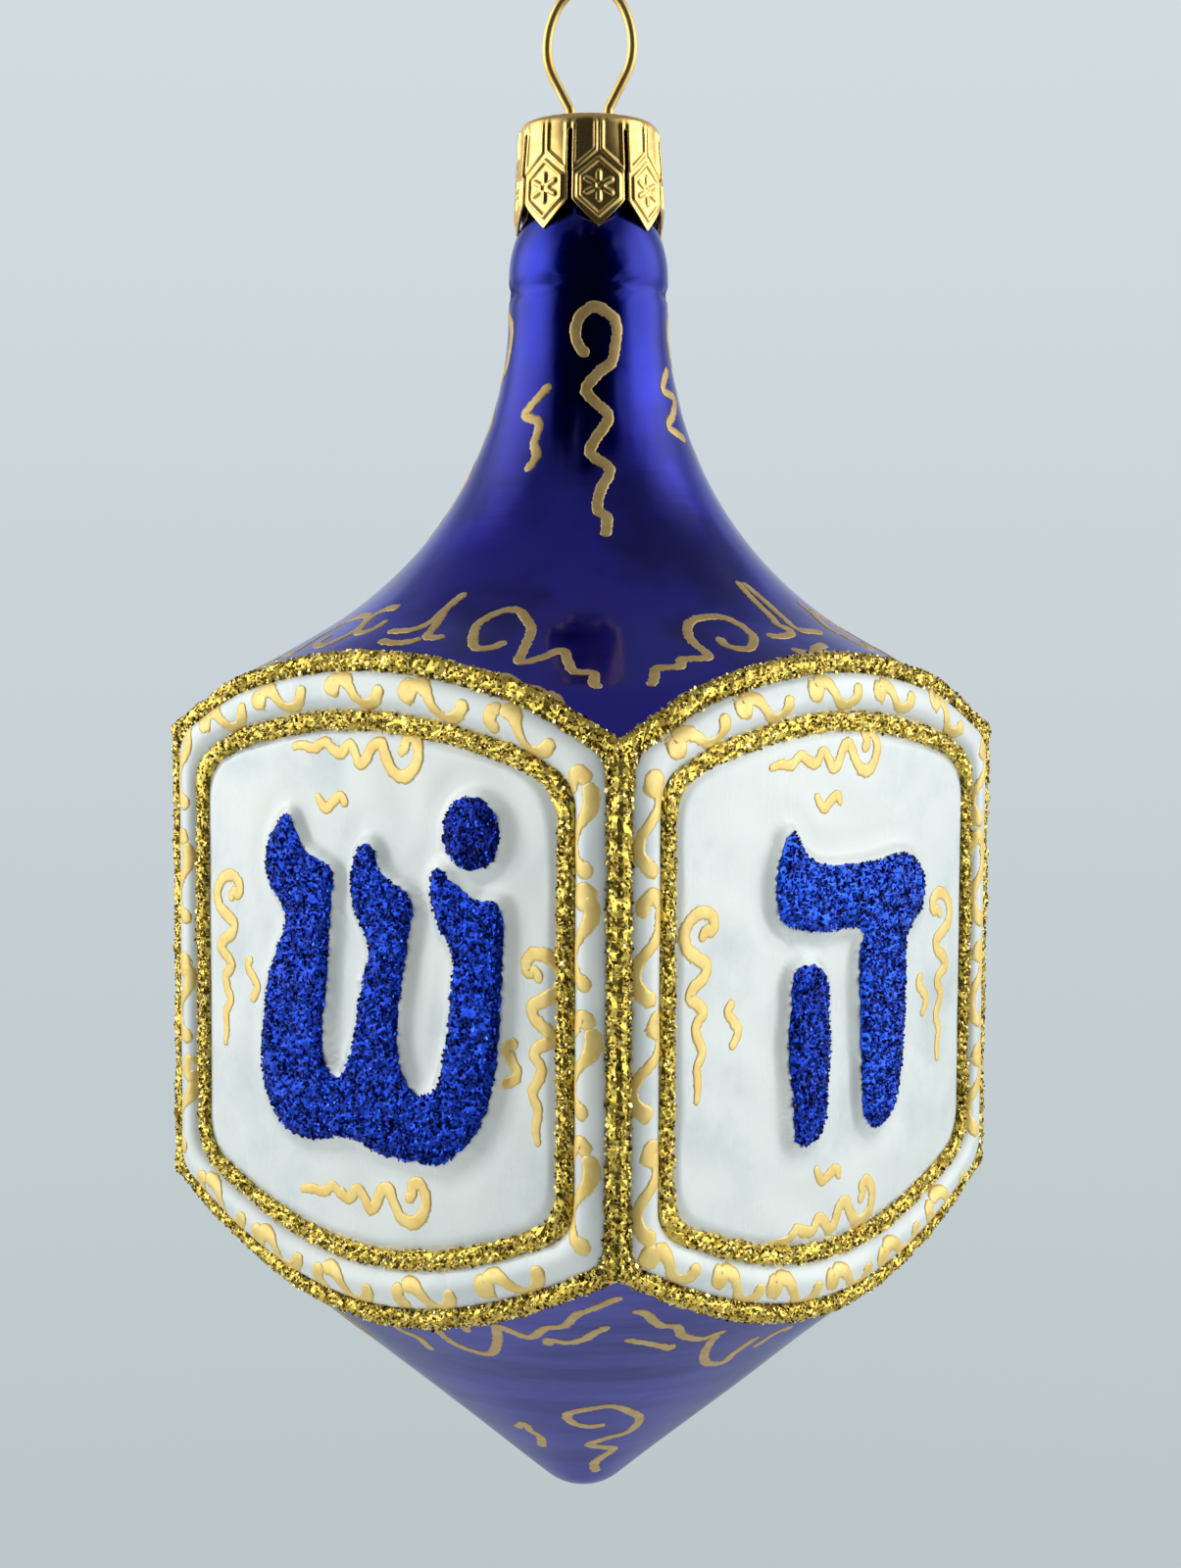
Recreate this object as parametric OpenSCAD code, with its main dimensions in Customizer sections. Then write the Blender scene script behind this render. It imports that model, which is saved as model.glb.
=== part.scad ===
// Hanging ornament of blown glass in the form of a dreidel: a four-sided body with a cone below,
// a flare and a round neck above, a pressed crown cap with eight tabs, and a sprung wire loop.
// The origin is the hook eye, on the underside of the loop's top, and +Z points up.
// Heights in the functions below are measured from the tip of the glass.

/* [Glass body] */
// Width of the glass between two neighbouring corner edges
body_w = 49.5; // [42:0.5:60]
// How far the middle of a face swells out past its corner edges
face_bulge = 1.5; // [0.8:0.1:2.4]
// Length of the upright corner edges
edge_h = 37.9; // [32:0.1:46]
// Half angle of the lower cone, in degrees
cone_deg = 49.3; // [44:0.1:55]
// Radius of the rounded tip
tip_r = 5.1; // [3:0.1:7]
// Slope of the flare where it comes down on the faces, in degrees
flare_deg = 30; // [26:0.5:34]
// Slope of the shoulders above the corner edges, in degrees
shoulder_deg = 40; // [36:0.5:46]
// Width of those shoulders, measured in from the corner edge
shoulder_w = 5; // [3:0.1:7]
// Radius of the hollow curve from the flare to the neck
flare_r = 32; // [26:0.5:36]
// Thickness of the blown glass
wall = 0.9; // [0.6:0.05:1.2]

/* [Neck] */
// Radius of the neck below the cap
neck_r = 6.8; // [6.2:0.1:8]
// Height of the straight part of the neck
neck_h = 2.3; // [1:0.1:6]
// Radius of the rounding that draws the neck in under the cap
neck_round_r = 9.5; // [8:0.1:12]
// Radius of the narrow neck inside the cap
mouth_r = 5.2; // [4.8:0.05:5.6]
// Length of the narrow neck inside the cap
mouth_l = 7.3; // [5:0.1:9]

/* [White faces] */
// Thickness of the lacquer between the glass and the white enamel
lacquer_t = 0.03; // [0.03:0.01:0.06]
// Thickness of the white enamel in the groove beside the rim
enamel_t = 0.25; // [0.15:0.05:0.4]
// Thickness of the white panel inside the groove
panel_t = 0.6; // [0.45:0.05:0.9]
// Width of the raised white rim
rim_w = 2.7; // [2:0.1:3.4]
// Height of the raised white rim above the glass
rim_h = 0.95; // [0.7:0.05:1.4]
// Radius of the corners of the rim
corner_r = 2.4; // [1.5:0.1:3.5]
// Extra radius of the corners of the groove and the panel
corner_more = 1.2; // [0.4:0.1:2]
// Extra width of the rim along the upper and lower edges
rim_more = 0.45; // [0.1:0.05:1]

/* [Glitter lines] */
// Width of the outer glitter lines on each side of an edge
line_w = 0.9; // [0.6:0.05:1.2]
// Height of the outer glitter lines above the glass
line_h = 0.6; // [0.4:0.05:0.9]
// Gap between an outer glitter line and the enamel
line_gap = 0.05; // [0.03:0.01:0.2]
// Thickness of the adhesive under the glitter lines
glue_t = 0.08; // [0.08:0.01:0.12]
// Width of the inner glitter ring, which fills the groove
ring_w = 1.5; // [1:0.1:2]
// Height of the inner glitter ring above the groove
ring_h = 0.7; // [0.4:0.05:1]

/* [Letters] */
// Height of the tallest letter
letter_h = 26.2; // [22:0.1:28]
// Thickness of the glitter letters
letter_t = 1.2; // [0.8:0.1:1.8]
// Height of the letters' middle above the middle of the corner edges
letter_up = -0.3; // [-2:0.05:1]
// Distance of the letters' middle to the right of the face's middle
letter_right = 1.4; // [-2:0.1:2]

/* [Cap] */
// Number of tabs round the cap
tab_count = 8; // [6:1:10]
// Thickness of the pressed sheet
cap_t = 0.25; // [0.2:0.01:0.3]
// Clearance between the cap and the narrow neck
cap_gap = 0.45; // [0.3:0.05:0.6]
// Clearance between the tips of the tabs and the glass
tab_gap = 0.15; // [0.1:0.01:0.4]
// Clearance between the cap's top and the neck's mouth
seat_gap = 0.1; // [0.05:0.01:0.2]
// Radius of the rounded top edge of the cap
cap_round = 0.8; // [0.4:0.05:1]
// Length of the straight sides of the tabs, from the cap's top
tab_l = 7.15; // [5.5:0.05:8]
// Length of the tabs' points
point_l = 2.25; // [1.4:0.05:2.6]
// Width of the slots between the tabs
slot_w = 0.4; // [0.3:0.05:0.8]
// Distance from the cap's top to the slots
slot_down = 1.3; // [1:0.1:2]
// Turn of the cap about the neck, in degrees
cap_turn = 3.5; // [-22:0.5:22]

/* [Hanger] */
// Radius of the wire
wire_r = 0.42; // [0.3:0.02:0.5]
// Clearance between the wire and its holes in the cap
hole_gap = 0.13; // [0.08:0.01:0.2]
// Distance of each leg from the axis where it enters the cap
leg_x = 1.64; // [1.4:0.02:2]
// Greatest distance of the wire from the axis, round the eye
loop_x = 3.68; // [3.5:0.02:4.2]
// Height of the straight wire above the cap
rise_h = 1.1; // [0.9:0.05:2]
// Slant of the wire between the cap and the eye, in degrees
slant_deg = 28; // [22:1:34]
// Radius of the bend above the cap
bend_r = 1; // [0.8:0.1:1.6]
// Radius of the lower sides of the eye
side_r = 5.2; // [4.6:0.1:6]
// Radius of the upper sides of the eye
crown_r = 7; // [6:0.1:8]
// Angle through which the upper sides bend, in degrees
crown_deg = 30; // [24:1:36]
// Length of the straight legs below the cap's top
leg_l = 5.4; // [5:0.1:6]
// Length of the splayed ends of the legs, measured down
splay_l = 13.6; // [8:0.1:16]
// Gap between the ends of the legs and the inside of the narrow neck
splay_gap = 0.25; // [0.15:0.05:0.6]
// Turn of the loop about the axis, in degrees
loop_turn = 30; // [0:1:45]

/* [Hidden] */

// Overrun of every cut past the surface that it opens
over = 0.5;
// Step over which a slope is measured
probe = 0.01;
// Facets of the round parts and of the large circles of the faces
round_fn = 96;
face_fn = 720;
// Pieces of a corner, of the arc between two corners, and of an outer line along one face
corner_steps = 4;
arc_steps = 10;
line_steps = 18;
// Pieces of the glass curves
curve_steps = 18;
// Pieces of each bend of the wire, and sides of its section
wire_steps = 4;
wire_sides = 12;
// Points between two points of a letter's outline
smooth_steps = 2;

half_w = body_w / 2;
edge_r = half_w * sqrt(2);
mid_w = half_w + face_bulge;
face_r = (half_w * half_w + face_bulge * face_bulge) / (2 * face_bulge);

// The lower cone, and the ends of the corner edges
apex_z = tip_r - tip_r / sin(cone_deg);
edge_low = apex_z + edge_r / tan(cone_deg);
edge_top = edge_low + edge_h;
edge_mid = (edge_low + edge_top) / 2;

// The flare: a slope down to the shoulders, and a hollow curve up to the neck
brow_r = edge_r - shoulder_w;
brow_z = edge_top + shoulder_w * tan(shoulder_deg);
curve_x = neck_r + flare_r;
curve_z = brow_z + (flare_r - (curve_x - brow_r) * sin(flare_deg)) / cos(flare_deg);
flare_in_r = curve_x - flare_r * sin(flare_deg);
round_z = curve_z + neck_h;
round_x = neck_r - neck_round_r;
round_deg = acos((mouth_r - round_x) / neck_round_r);
mouth_z = round_z + neck_round_r * sin(round_deg) + mouth_l;

// The cap
cap_z = mouth_z + seat_gap + cap_t;
cap_r = mouth_r + cap_gap + cap_t;
tip_z = cap_z - tab_l - point_l;
tab_in_r = round_x + sqrt(pow(neck_round_r, 2) - pow(max(tip_z - round_z, 0), 2)) + tab_gap;
tab_out_r = tab_in_r + cap_t;

// The hanger: heights of its bends, and the eye
bend_z = cap_z + rise_h;
slant_x = leg_x + bend_r * (1 - cos(slant_deg));
slant_z = bend_z + bend_r * sin(slant_deg);
side_x = loop_x - side_r * (1 - cos(slant_deg));
side_z = slant_z + (side_x - slant_x) / tan(slant_deg);
wide_z = side_z + side_r * sin(slant_deg);
crown_x = loop_x - crown_r * (1 - cos(crown_deg));
top_r = crown_x / cos(crown_deg);
top_z = wide_z + crown_r * sin(crown_deg) - top_r * sin(crown_deg);
eye_z = top_z + top_r - wire_r;
leg_z = cap_z - leg_l;
splay_x = mouth_r - wall - splay_gap - wire_r;

// Places across a face, measured in from its edges
rim_in = line_w + line_gap;
groove_in = rim_in + rim_w;
panel_in = groove_in + ring_w;
inner_in = half_w - (corner_r + corner_more) * 1.2;

// Rim section: share of the rim's width, share of its height
rim_shares = [[0, 0.14], [0.11, 0.6], [0.3, 0.91], [0.54, 1], [0.78, 0.86], [0.93, 0.5]];
// Places of the rows between the groove and the middle of the panel, as shares of that way
panel_shares = [0, 0.05, 0.3, 0.65, 1];
// Share of the panel's rise over the groove that is reached at each of those rows
rise_shares = [0, 0.75, 1, 1, 1];
// Section of the glitter ring: share of its width, share of its height
ring_shares = [[0, 0], [0.14, 0.62], [0.5, 1], [0.86, 0.62], [1, 0]];

// Outlines of the letters, as shares of the tallest letter's height about the face's middle
shin_shares = [[-0.345, 0.495], [-0.32, 0.45], [-0.28, 0.4], [-0.21, 0.37], [-0.145, 0.33],
    [-0.16, 0.24], [-0.165, 0.14], [-0.175, 0.04], [-0.19, -0.09], [-0.2, -0.19], [-0.185, -0.25],
    [-0.155, -0.28], [-0.12, -0.28], [-0.09, -0.25], [-0.055, -0.16], [-0.03, -0.04], [0, 0.065],
    [0.01, 0.12], [-0.02, 0.18], [-0.055, 0.24], [-0.065, 0.315], [-0.05, 0.385], [-0.02, 0.425],
    [0.01, 0.43], [0.035, 0.405], [0.055, 0.36], [0.1, 0.325], [0.15, 0.305], [0.185, 0.27],
    [0.175, 0.205], [0.16, 0.115], [0.145, 0.025], [0.13, -0.075], [0.125, -0.165], [0.14, -0.225],
    [0.165, -0.27], [0.2, -0.295], [0.24, -0.29], [0.285, -0.26], [0.31, -0.175], [0.33, -0.085],
    [0.34, 0.015], [0.35, 0.1], [0.335, 0.155], [0.295, 0.205], [0.27, 0.27], [0.26, 0.32],
    [0.27, 0.36], [0.29, 0.38], [0.315, 0.36], [0.345, 0.335], [0.385, 0.315], [0.43, 0.295],
    [0.48, 0.295], [0.515, 0.285], [0.53, 0.215], [0.525, 0.105], [0.52, 0], [0.51, -0.11],
    [0.495, -0.22], [0.47, -0.305], [0.42, -0.385], [0.36, -0.445], [0.29, -0.485], [0.205, -0.49],
    [0.115, -0.49], [0.025, -0.48], [-0.04, -0.46], [-0.11, -0.46], [-0.18, -0.475], [-0.265, -0.485],
    [-0.35, -0.475], [-0.42, -0.425], [-0.46, -0.36], [-0.48, -0.265], [-0.47, -0.135],
    [-0.445, -0.015], [-0.405, 0.08], [-0.365, 0.155], [-0.375, 0.215], [-0.43, 0.27], [-0.455, 0.335],
    [-0.44, 0.415], [-0.4, 0.47], [-0.37, 0.495]];
shin_dot_shares = [0.415, 0.485, 0.104];
he_roof_shares = [[-0.32, 0.47], [-0.295, 0.435], [-0.255, 0.4], [-0.185, 0.37], [-0.08, 0.36],
    [0.09, 0.36], [0.23, 0.375], [0.31, 0.36], [0.37, 0.31], [0.385, 0.255], [0.365, 0.19],
    [0.29, 0.13], [0.275, 0.065], [0.275, -0.035], [0.27, -0.16], [0.26, -0.26], [0.24, -0.35],
    [0.215, -0.415], [0.165, -0.455], [0.11, -0.465], [0.06, -0.43], [0.04, -0.37], [0.035, -0.27],
    [0.03, -0.15], [0.02, -0.025], [0.015, 0.055], [0.025, 0.115], [0.035, 0.15], [-0.02, 0.17],
    [-0.16, 0.17], [-0.27, 0.185], [-0.355, 0.205], [-0.395, 0.25], [-0.405, 0.32], [-0.395, 0.39],
    [-0.365, 0.45], [-0.345, 0.47]];
he_leg_shares = [[-0.24, 0.075], [-0.185, 0.055], [-0.155, 0.01], [-0.15, -0.085], [-0.14, -0.185],
    [-0.15, -0.295], [-0.16, -0.39], [-0.185, -0.44], [-0.23, -0.46], [-0.28, -0.455], [-0.31, -0.42],
    [-0.315, -0.34], [-0.33, -0.24], [-0.34, -0.14], [-0.33, -0.045], [-0.33, 0.02], [-0.31, 0.06],
    [-0.275, 0.075]];
gimel_shares = [[-0.12, 0.47], [-0.09, 0.41], [-0.01, 0.37], [0.10, 0.365], [0.19, 0.34], [0.225, 0.26],
    [0.215, 0.10], [0.205, -0.06], [0.24, -0.20], [0.30, -0.33], [0.315, -0.43], [0.26, -0.49],
    [0.18, -0.47], [0.13, -0.38], [0.09, -0.27], [0.02, -0.30], [-0.06, -0.35], [-0.13, -0.43],
    [-0.20, -0.475], [-0.27, -0.45], [-0.29, -0.37], [-0.25, -0.28], [-0.15, -0.20], [-0.05, -0.13],
    [0.0, -0.04], [0.005, 0.08], [-0.01, 0.165], [-0.08, 0.18], [-0.17, 0.20], [-0.215, 0.26],
    [-0.225, 0.34], [-0.205, 0.42], [-0.165, 0.46]];
nun_shares = [[-0.11, 0.47], [-0.08, 0.41], [0.0, 0.37], [0.11, 0.365], [0.20, 0.335], [0.235, 0.25],
    [0.225, 0.05], [0.215, -0.15], [0.205, -0.33], [0.16, -0.45], [0.07, -0.49], [-0.10, -0.485],
    [-0.24, -0.475], [-0.30, -0.42], [-0.295, -0.34], [-0.24, -0.29], [-0.12, -0.285], [-0.03, -0.27],
    [0.005, -0.19], [0.01, -0.02], [0.005, 0.12], [-0.03, 0.175], [-0.11, 0.19], [-0.18, 0.215],
    [-0.215, 0.28], [-0.22, 0.36], [-0.20, 0.43], [-0.155, 0.465]];

// Points along an arc
function arc_pts(x, z, r, from, to, n) = [for (i = [0 : n])
    let (a = from + (to - from) * i / n) [x + r * cos(a), z + r * sin(a)]];

// Half section of the glass, from the tip to the mouth, grown by g all round
function glass_half(g, top) =
    let (low = apex_z - g / sin(cone_deg),
        brow = brow_z + brow_r * tan(flare_deg) + g / cos(flare_deg),
        slope = brow_z + brow_r * tan(shoulder_deg) + g / cos(shoulder_deg),
        bend_at = (slope - brow) / (tan(shoulder_deg) - tan(flare_deg)),
        far = (slope - low) / (tan(shoulder_deg) + 1 / tan(cone_deg)),
        turn = acos((mouth_r + g - round_x) / (neck_round_r + g)))
    concat(arc_pts(0, tip_r, tip_r + g, -90, -cone_deg, curve_steps / 2),
        [[far, slope - far * tan(shoulder_deg)], [bend_at, brow - bend_at * tan(flare_deg)]],
        arc_pts(curve_x, curve_z, flare_r - g, 270 - flare_deg, 180, curve_steps),
        arc_pts(round_x, round_z, neck_round_r + g, 0, turn, curve_steps / 3),
        [[mouth_r + g, top], [0, top]]);

// Height of the glass above and below the faces, at a distance from the axis
function upper_z(r) = r < flare_in_r
    ? curve_z - sqrt(pow(flare_r, 2) - pow(curve_x - r, 2))
    : brow_z - (r - brow_r) * tan(r > brow_r ? shoulder_deg : flare_deg);
function lower_z(r) = apex_z + r / tan(cone_deg);

// A face, seen from outside: u runs to the right, and side is 1 at its upper edge and -1 at its lower edge
function face_out(u) = sqrt(face_r * face_r - u * u) - (face_r - mid_w);
function edge_dist(u) = norm([u, face_out(u)]);
function edge_z(u, side) = side > 0 ? upper_z(edge_dist(u)) : lower_z(edge_dist(u));
function on_face(p, out) = [p.x, -(face_out(p.x) + out), p.y];
function mirrored(pts) = [for (p = pts) [-p.x, p.y]];
function reversed(pts) = [for (i = [len(pts) - 1 : -1 : 0]) pts[i]];

// Radius of a corner, and distance down from the edges, at a place in from the sides
function rim_share(in) = min(max((in - rim_in) / rim_w, 0), 1);
function round_r(in) = corner_r + corner_more * rim_share(in);
function down_in(in) = in + rim_more * rim_share(in);

// Slope of an edge beside a corner, and that corner's rounding at a place in from the edges
function corner_lean(in, side) =
    let (u = half_w - in - round_r(in))
    atan(side * (edge_z(u, side) - edge_z(u + probe, side)) / probe);
function corner_end(in, side) = half_w - in - round_r(in) * (1 - sin(corner_lean(in, side)));
function corner_pts(in, side) =
    let (lean = corner_lean(in, side), r = round_r(in), u = half_w - in - r,
        z = edge_z(corner_end(in, side), side) - side * (down_in(in) + r * cos(lean)))
    [for (i = [0 : corner_steps])
        let (a = (90 - lean) * i / corner_steps)
        [u + r * cos(a), z + side * r * sin(a)]];
function edge_arc(in, side) =
    let (u = corner_end(in, side))
    [for (i = [1 : arc_steps - 1])
        let (x = u * (1 - 2 * i / arc_steps)) [x, edge_z(x, side) - side * down_in(in)]];

// Closed line all round a face, at one distance in from its edges
function face_line(in) = concat(corner_pts(in, 1), edge_arc(in, 1), reversed(mirrored(corner_pts(in, 1))),
    mirrored(corner_pts(in, -1)), reversed(edge_arc(in, -1)), reversed(corner_pts(in, -1)));
function face_row(in, out) = [for (p = face_line(in)) on_face(p, out)];

// Skin over rows of points: a closed tube, or a shell between two end points
function quad_faces(rows, n, wrap) = [for (i = [0 : rows - (wrap ? 1 : 2)], j = [0 : n - 1])
    let (a = i * n + j, b = i * n + (j + 1) % n, k = (i + 1) % rows)
    each [[a, b, k * n + (j + 1) % n], [a, k * n + (j + 1) % n, k * n + j]]];
module tube_of_rows(rows) {
    n = len(rows[0]);
    polyhedron([for (row = rows) each row], quad_faces(len(rows), n, true), convexity = 6);
}
module shell_of_rows(rows, first, last) {
    n = len(rows[0]);
    count = len(rows) * n;
    faces = concat(quad_faces(len(rows), n, false),
        [for (j = [0 : n - 1]) [count, (j + 1) % n, j]],
        [for (j = [0 : n - 1]) [count + 1, count - n + j, count - n + (j + 1) % n]]);
    polyhedron(concat([for (row = rows) each row], [first, last]), faces, convexity = 6);
}

module from_eye() {
    translate([0, 0, -eye_z]) children();
}

// One of the four faces, counted to the right from the first
module on_side(k) {
    rotate([0, 0, 90 * k]) children();
}

// Plan of the four swelling faces, grown by g
module face_plan(g) {
    intersection_for (k = [0 : 3])
        rotate([0, 0, 90 * k]) translate([face_r - mid_w, 0])
            circle(r = face_r + g, $fn = face_fn);
}

// The blown form, grown by g
module blown_form(g, top) {
    intersection() {
        rotate_extrude($fn = round_fn) polygon(glass_half(g, top));
        translate([0, 0, -over]) linear_extrude(height = top + 2 * over) face_plan(g);
    }
}

module glass_body() {
    color([0.10, 0.07, 0.50]) from_eye()
        difference() {
            blown_form(0, mouth_z);
            blown_form(-wall, mouth_z + over);
        }
}

// White enamel of one face, with its rim, its groove and its swelling panel
module enamel_face() {
    back_rows = [for (s = reversed(panel_shares)) face_row(panel_in + (inner_in - panel_in) * s, lacquer_t)];
    rim_rows = [for (s = rim_shares) face_row(rim_in + rim_w * s[0], rim_h * s[1])];
    panel_rows = [for (i = [0 : len(panel_shares) - 1])
        face_row(panel_in + (inner_in - panel_in) * panel_shares[i],
            enamel_t + (panel_t - enamel_t) * rise_shares[i])];
    rows = concat(back_rows, [face_row(rim_in, lacquer_t)], rim_rows, [face_row(groove_in, enamel_t)],
        panel_rows);
    shell_of_rows(rows, on_face([0, edge_mid], lacquer_t), on_face([0, edge_mid], panel_t));
}

// Glitter ring in the groove of one face
module ring_line() {
    tube_of_rows([for (s = ring_shares)
        face_row(groove_in + ring_w * s[0], enamel_t + glue_t + ring_h * s[1])]);
}

module enamel(k) {
    color([0.90, 0.93, 0.94]) from_eye() on_side(k) enamel_face();
}
module enamel_shin() { enamel(0); }
module enamel_he() { enamel(1); }
module enamel_gimel() { enamel(2); }
module enamel_nun() { enamel(3); }

module face_ring(k) {
    color([0.72, 0.55, 0.12]) from_eye() on_side(k) ring_line();
}
module ring_line_shin() { face_ring(0); }
module ring_line_he() { face_ring(1); }
module ring_line_gimel() { face_ring(2); }
module ring_line_nun() { face_ring(3); }

// Smooth closed outline through the points of a table of shares
function smooth_at(a, b, c, d, t) = (2 * b + (c - a) * t + (2 * a - 5 * b + 4 * c - d) * t * t
    + (3 * b - a - 3 * c + d) * t * t * t) / 2;
function smooth(pts) =
    let (n = len(pts))
    [for (i = [0 : n - 1], j = [0 : smooth_steps - 1])
        smooth_at(pts[(i + n - 1) % n], pts[i], pts[(i + 1) % n], pts[(i + 2) % n], j / smooth_steps)];

// Glitter letter that stands on the panel of one face and follows its swell
module letter(k) {
    color([0.04, 0.10, 0.62]) from_eye() on_side(k)
        intersection() {
            translate([letter_right, 0, edge_mid + letter_up]) rotate([90, 0, 0])
                linear_extrude(height = mid_w + panel_t + letter_t + over) children();
            difference() {
                linear_extrude(height = edge_top + edge_h) face_plan(panel_t + letter_t);
                translate([0, 0, -over]) linear_extrude(height = edge_top + edge_h + 2 * over)
                    face_plan(panel_t);
            }
        }
}
module letter_shin() {
    letter(0) {
        polygon(smooth(letter_h * shin_shares));
        translate([letter_h * shin_dot_shares[0], letter_h * shin_dot_shares[1]])
            circle(r = letter_h * shin_dot_shares[2], $fn = round_fn);
    }
}
module letter_he() {
    letter(1) {
        polygon(smooth(letter_h * he_roof_shares));
        polygon(smooth(letter_h * he_leg_shares));
    }
}
module letter_gimel() {
    letter(2) polygon(smooth(letter_h * gimel_shares));
}
module letter_nun() {
    letter(3) polygon(smooth(letter_h * nun_shares));
}

// Glitter lines that cover the four corner edges
function corner_section() =
    let (foot = [half_w - line_w, -face_out(half_w - line_w)], corner = [half_w, -half_w])
    concat([foot], [for (i = [1 : 2 * corner_steps - 1])
            let (a = 270 * i / (2 * corner_steps) + 180,
                r = line_h + (line_w - line_h) * pow((a - 315) / 135, 2))
            corner + r * [cos(a), sin(a)]],
        [[-foot.y, -foot.x], corner]);
module corner_lines() {
    color([0.72, 0.55, 0.12]) from_eye()
        for (k = [0 : 3])
            on_side(k) translate([0, 0, edge_low + line_w])
                linear_extrude(height = edge_h - 2 * line_w) polygon(corner_section());
}

// Section of a glitter line over the edge of a face, at one place along it
function line_section(u, side) =
    let (r = edge_dist(u), plan = [u, -face_out(u)] / r, z = edge_z(u, side),
        lean = side > 0 ? flare_deg : 90 - cone_deg,
        in_r = r - line_w * cos(lean), in_z = side > 0 ? upper_z(in_r) : lower_z(in_r),
        up = [plan.x * sin(lean), plan.y * sin(lean), side * cos(lean)],
        out = [plan.x, plan.y, 0])
    [[plan.x * r, plan.y * r, z - side * line_w] + out * glue_t,
        [plan.x * r, plan.y * r, z - side * line_w * 3 / 4] + out * line_h * 3 / 4,
        [plan.x * r, plan.y * r, z] + (out + up) * line_h * 2 / 3,
        [plan.x * in_r, plan.y * in_r, in_z] + up * line_h * 3 / 4,
        [plan.x * in_r, plan.y * in_r, in_z] + up * glue_t,
        [plan.x * r, plan.y * r, z] + (out + up) * glue_t];
function turned(p, k) = [p.x * cos(90 * k) - p.y * sin(90 * k), p.x * sin(90 * k) + p.y * cos(90 * k), p.z];
module edge_line(side) {
    color([0.72, 0.55, 0.12]) from_eye()
        tube_of_rows([for (k = [0 : 3], i = [0 : line_steps - 1])
            let (pts = [for (p = line_section(half_w * (2 * i / line_steps - 1), side)) turned(p, k)])
            side > 0 ? reversed(pts) : pts]);
}
module upper_line() { edge_line(1); }
module lower_line() { edge_line(-1); }

// Half section of the pressed cap: a disc, a rounded edge and a wall that spreads over the neck
function cap_half(r, top, low_r, bend) = concat([[0, tip_z - over], [low_r, tip_z - over], [low_r, tip_z]],
    arc_pts(r - bend, top - bend, bend, 0, 90, corner_steps), [[0, top]]);

module crown_cap() {
    pitch_x = tab_out_r * tan(180 / tab_count);
    color([0.83, 0.66, 0.26]) from_eye() rotate([0, 0, cap_turn])
        difference() {
            rotate_extrude($fn = round_fn)
                difference() {
                    polygon(cap_half(cap_r, cap_z, tab_out_r, cap_round));
                    polygon(cap_half(cap_r - cap_t, cap_z - cap_t, tab_in_r, cap_round - cap_t));
                    translate([0, tip_z - 2 * over]) square([tab_out_r + over, 2 * over]);
                }
            for (k = [0 : tab_count - 1])
                rotate([90, 0, 360 * (k + 0.5) / tab_count])
                    linear_extrude(height = tab_out_r + over)
                        polygon([[-slot_w / 2, cap_z - slot_down], [-slot_w / 2, cap_z - tab_l],
                            [-pitch_x, tip_z], [-pitch_x, tip_z - over], [pitch_x, tip_z - over],
                            [pitch_x, tip_z], [slot_w / 2, cap_z - tab_l], [slot_w / 2, cap_z - slot_down]]);
            for (x = [-leg_x, leg_x])
                rotate([0, 0, loop_turn - cap_turn]) translate([x, 0, cap_z - cap_t - over])
                    cylinder(r = wire_r + hole_gap, h = cap_t + 2 * over, $fn = round_fn / 4);
        }
}

// Middle line of the wire in the plane of the loop: x, z and the direction that faces away from the loop
function wire_arc(x, z, r, from, to, n, away) = [for (i = [0 : n])
    let (a = from + (to - from) * i / n) [x + r * cos(a), z + r * sin(a), a + (away ? 180 : 0)]];
function wire_half() =
    let (splay_deg = atan((splay_x - leg_x) / splay_l))
    concat([[splay_x, leg_z - splay_l, splay_deg]],
        wire_arc(leg_x + bend_r, leg_z, bend_r, splay_deg - 180, -180, wire_steps / 2, true),
        wire_arc(leg_x + bend_r, bend_z, bend_r, 180, 180 - slant_deg, wire_steps, true),
        wire_arc(loop_x - side_r, wide_z, side_r, -slant_deg, 0, wire_steps, false),
        [for (p = wire_arc(loop_x - crown_r, wide_z, crown_r, 0, crown_deg, wire_steps, false))
            if (p[2] > 0 && p[2] < crown_deg) p],
        wire_arc(0, top_z, top_r, crown_deg, 90, 2 * wire_steps, false));
function wire_row(p) = [for (i = [0 : wire_sides - 1])
    let (a = 360 * i / wire_sides)
    [p[0] + wire_r * cos(a) * cos(p[2]), wire_r * sin(a), p[1] + wire_r * cos(a) * sin(p[2])]];

module hanger_wire() {
    half = wire_half();
    other = [for (i = [len(half) - 2 : -1 : 0]) [-half[i][0], half[i][1], 180 - half[i][2]]];
    path = concat(half, other);
    color([0.85, 0.68, 0.25]) from_eye() rotate([0, 0, loop_turn])
        shell_of_rows([for (p = path) wire_row(p)], [splay_x, 0, leg_z - splay_l],
            [-splay_x, 0, leg_z - splay_l]);
}

glass_body();
enamel_shin();
enamel_he();
enamel_gimel();
enamel_nun();
ring_line_shin();
ring_line_he();
ring_line_gimel();
ring_line_nun();
letter_shin();
letter_he();
letter_gimel();
letter_nun();
corner_lines();
upper_line();
lower_line();
crown_cap();
hanger_wire();
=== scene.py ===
import math
import bpy
import numpy as np
from mathutils import Matrix, Vector, geometry
from mathutils.bvhtree import BVHTree


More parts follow.
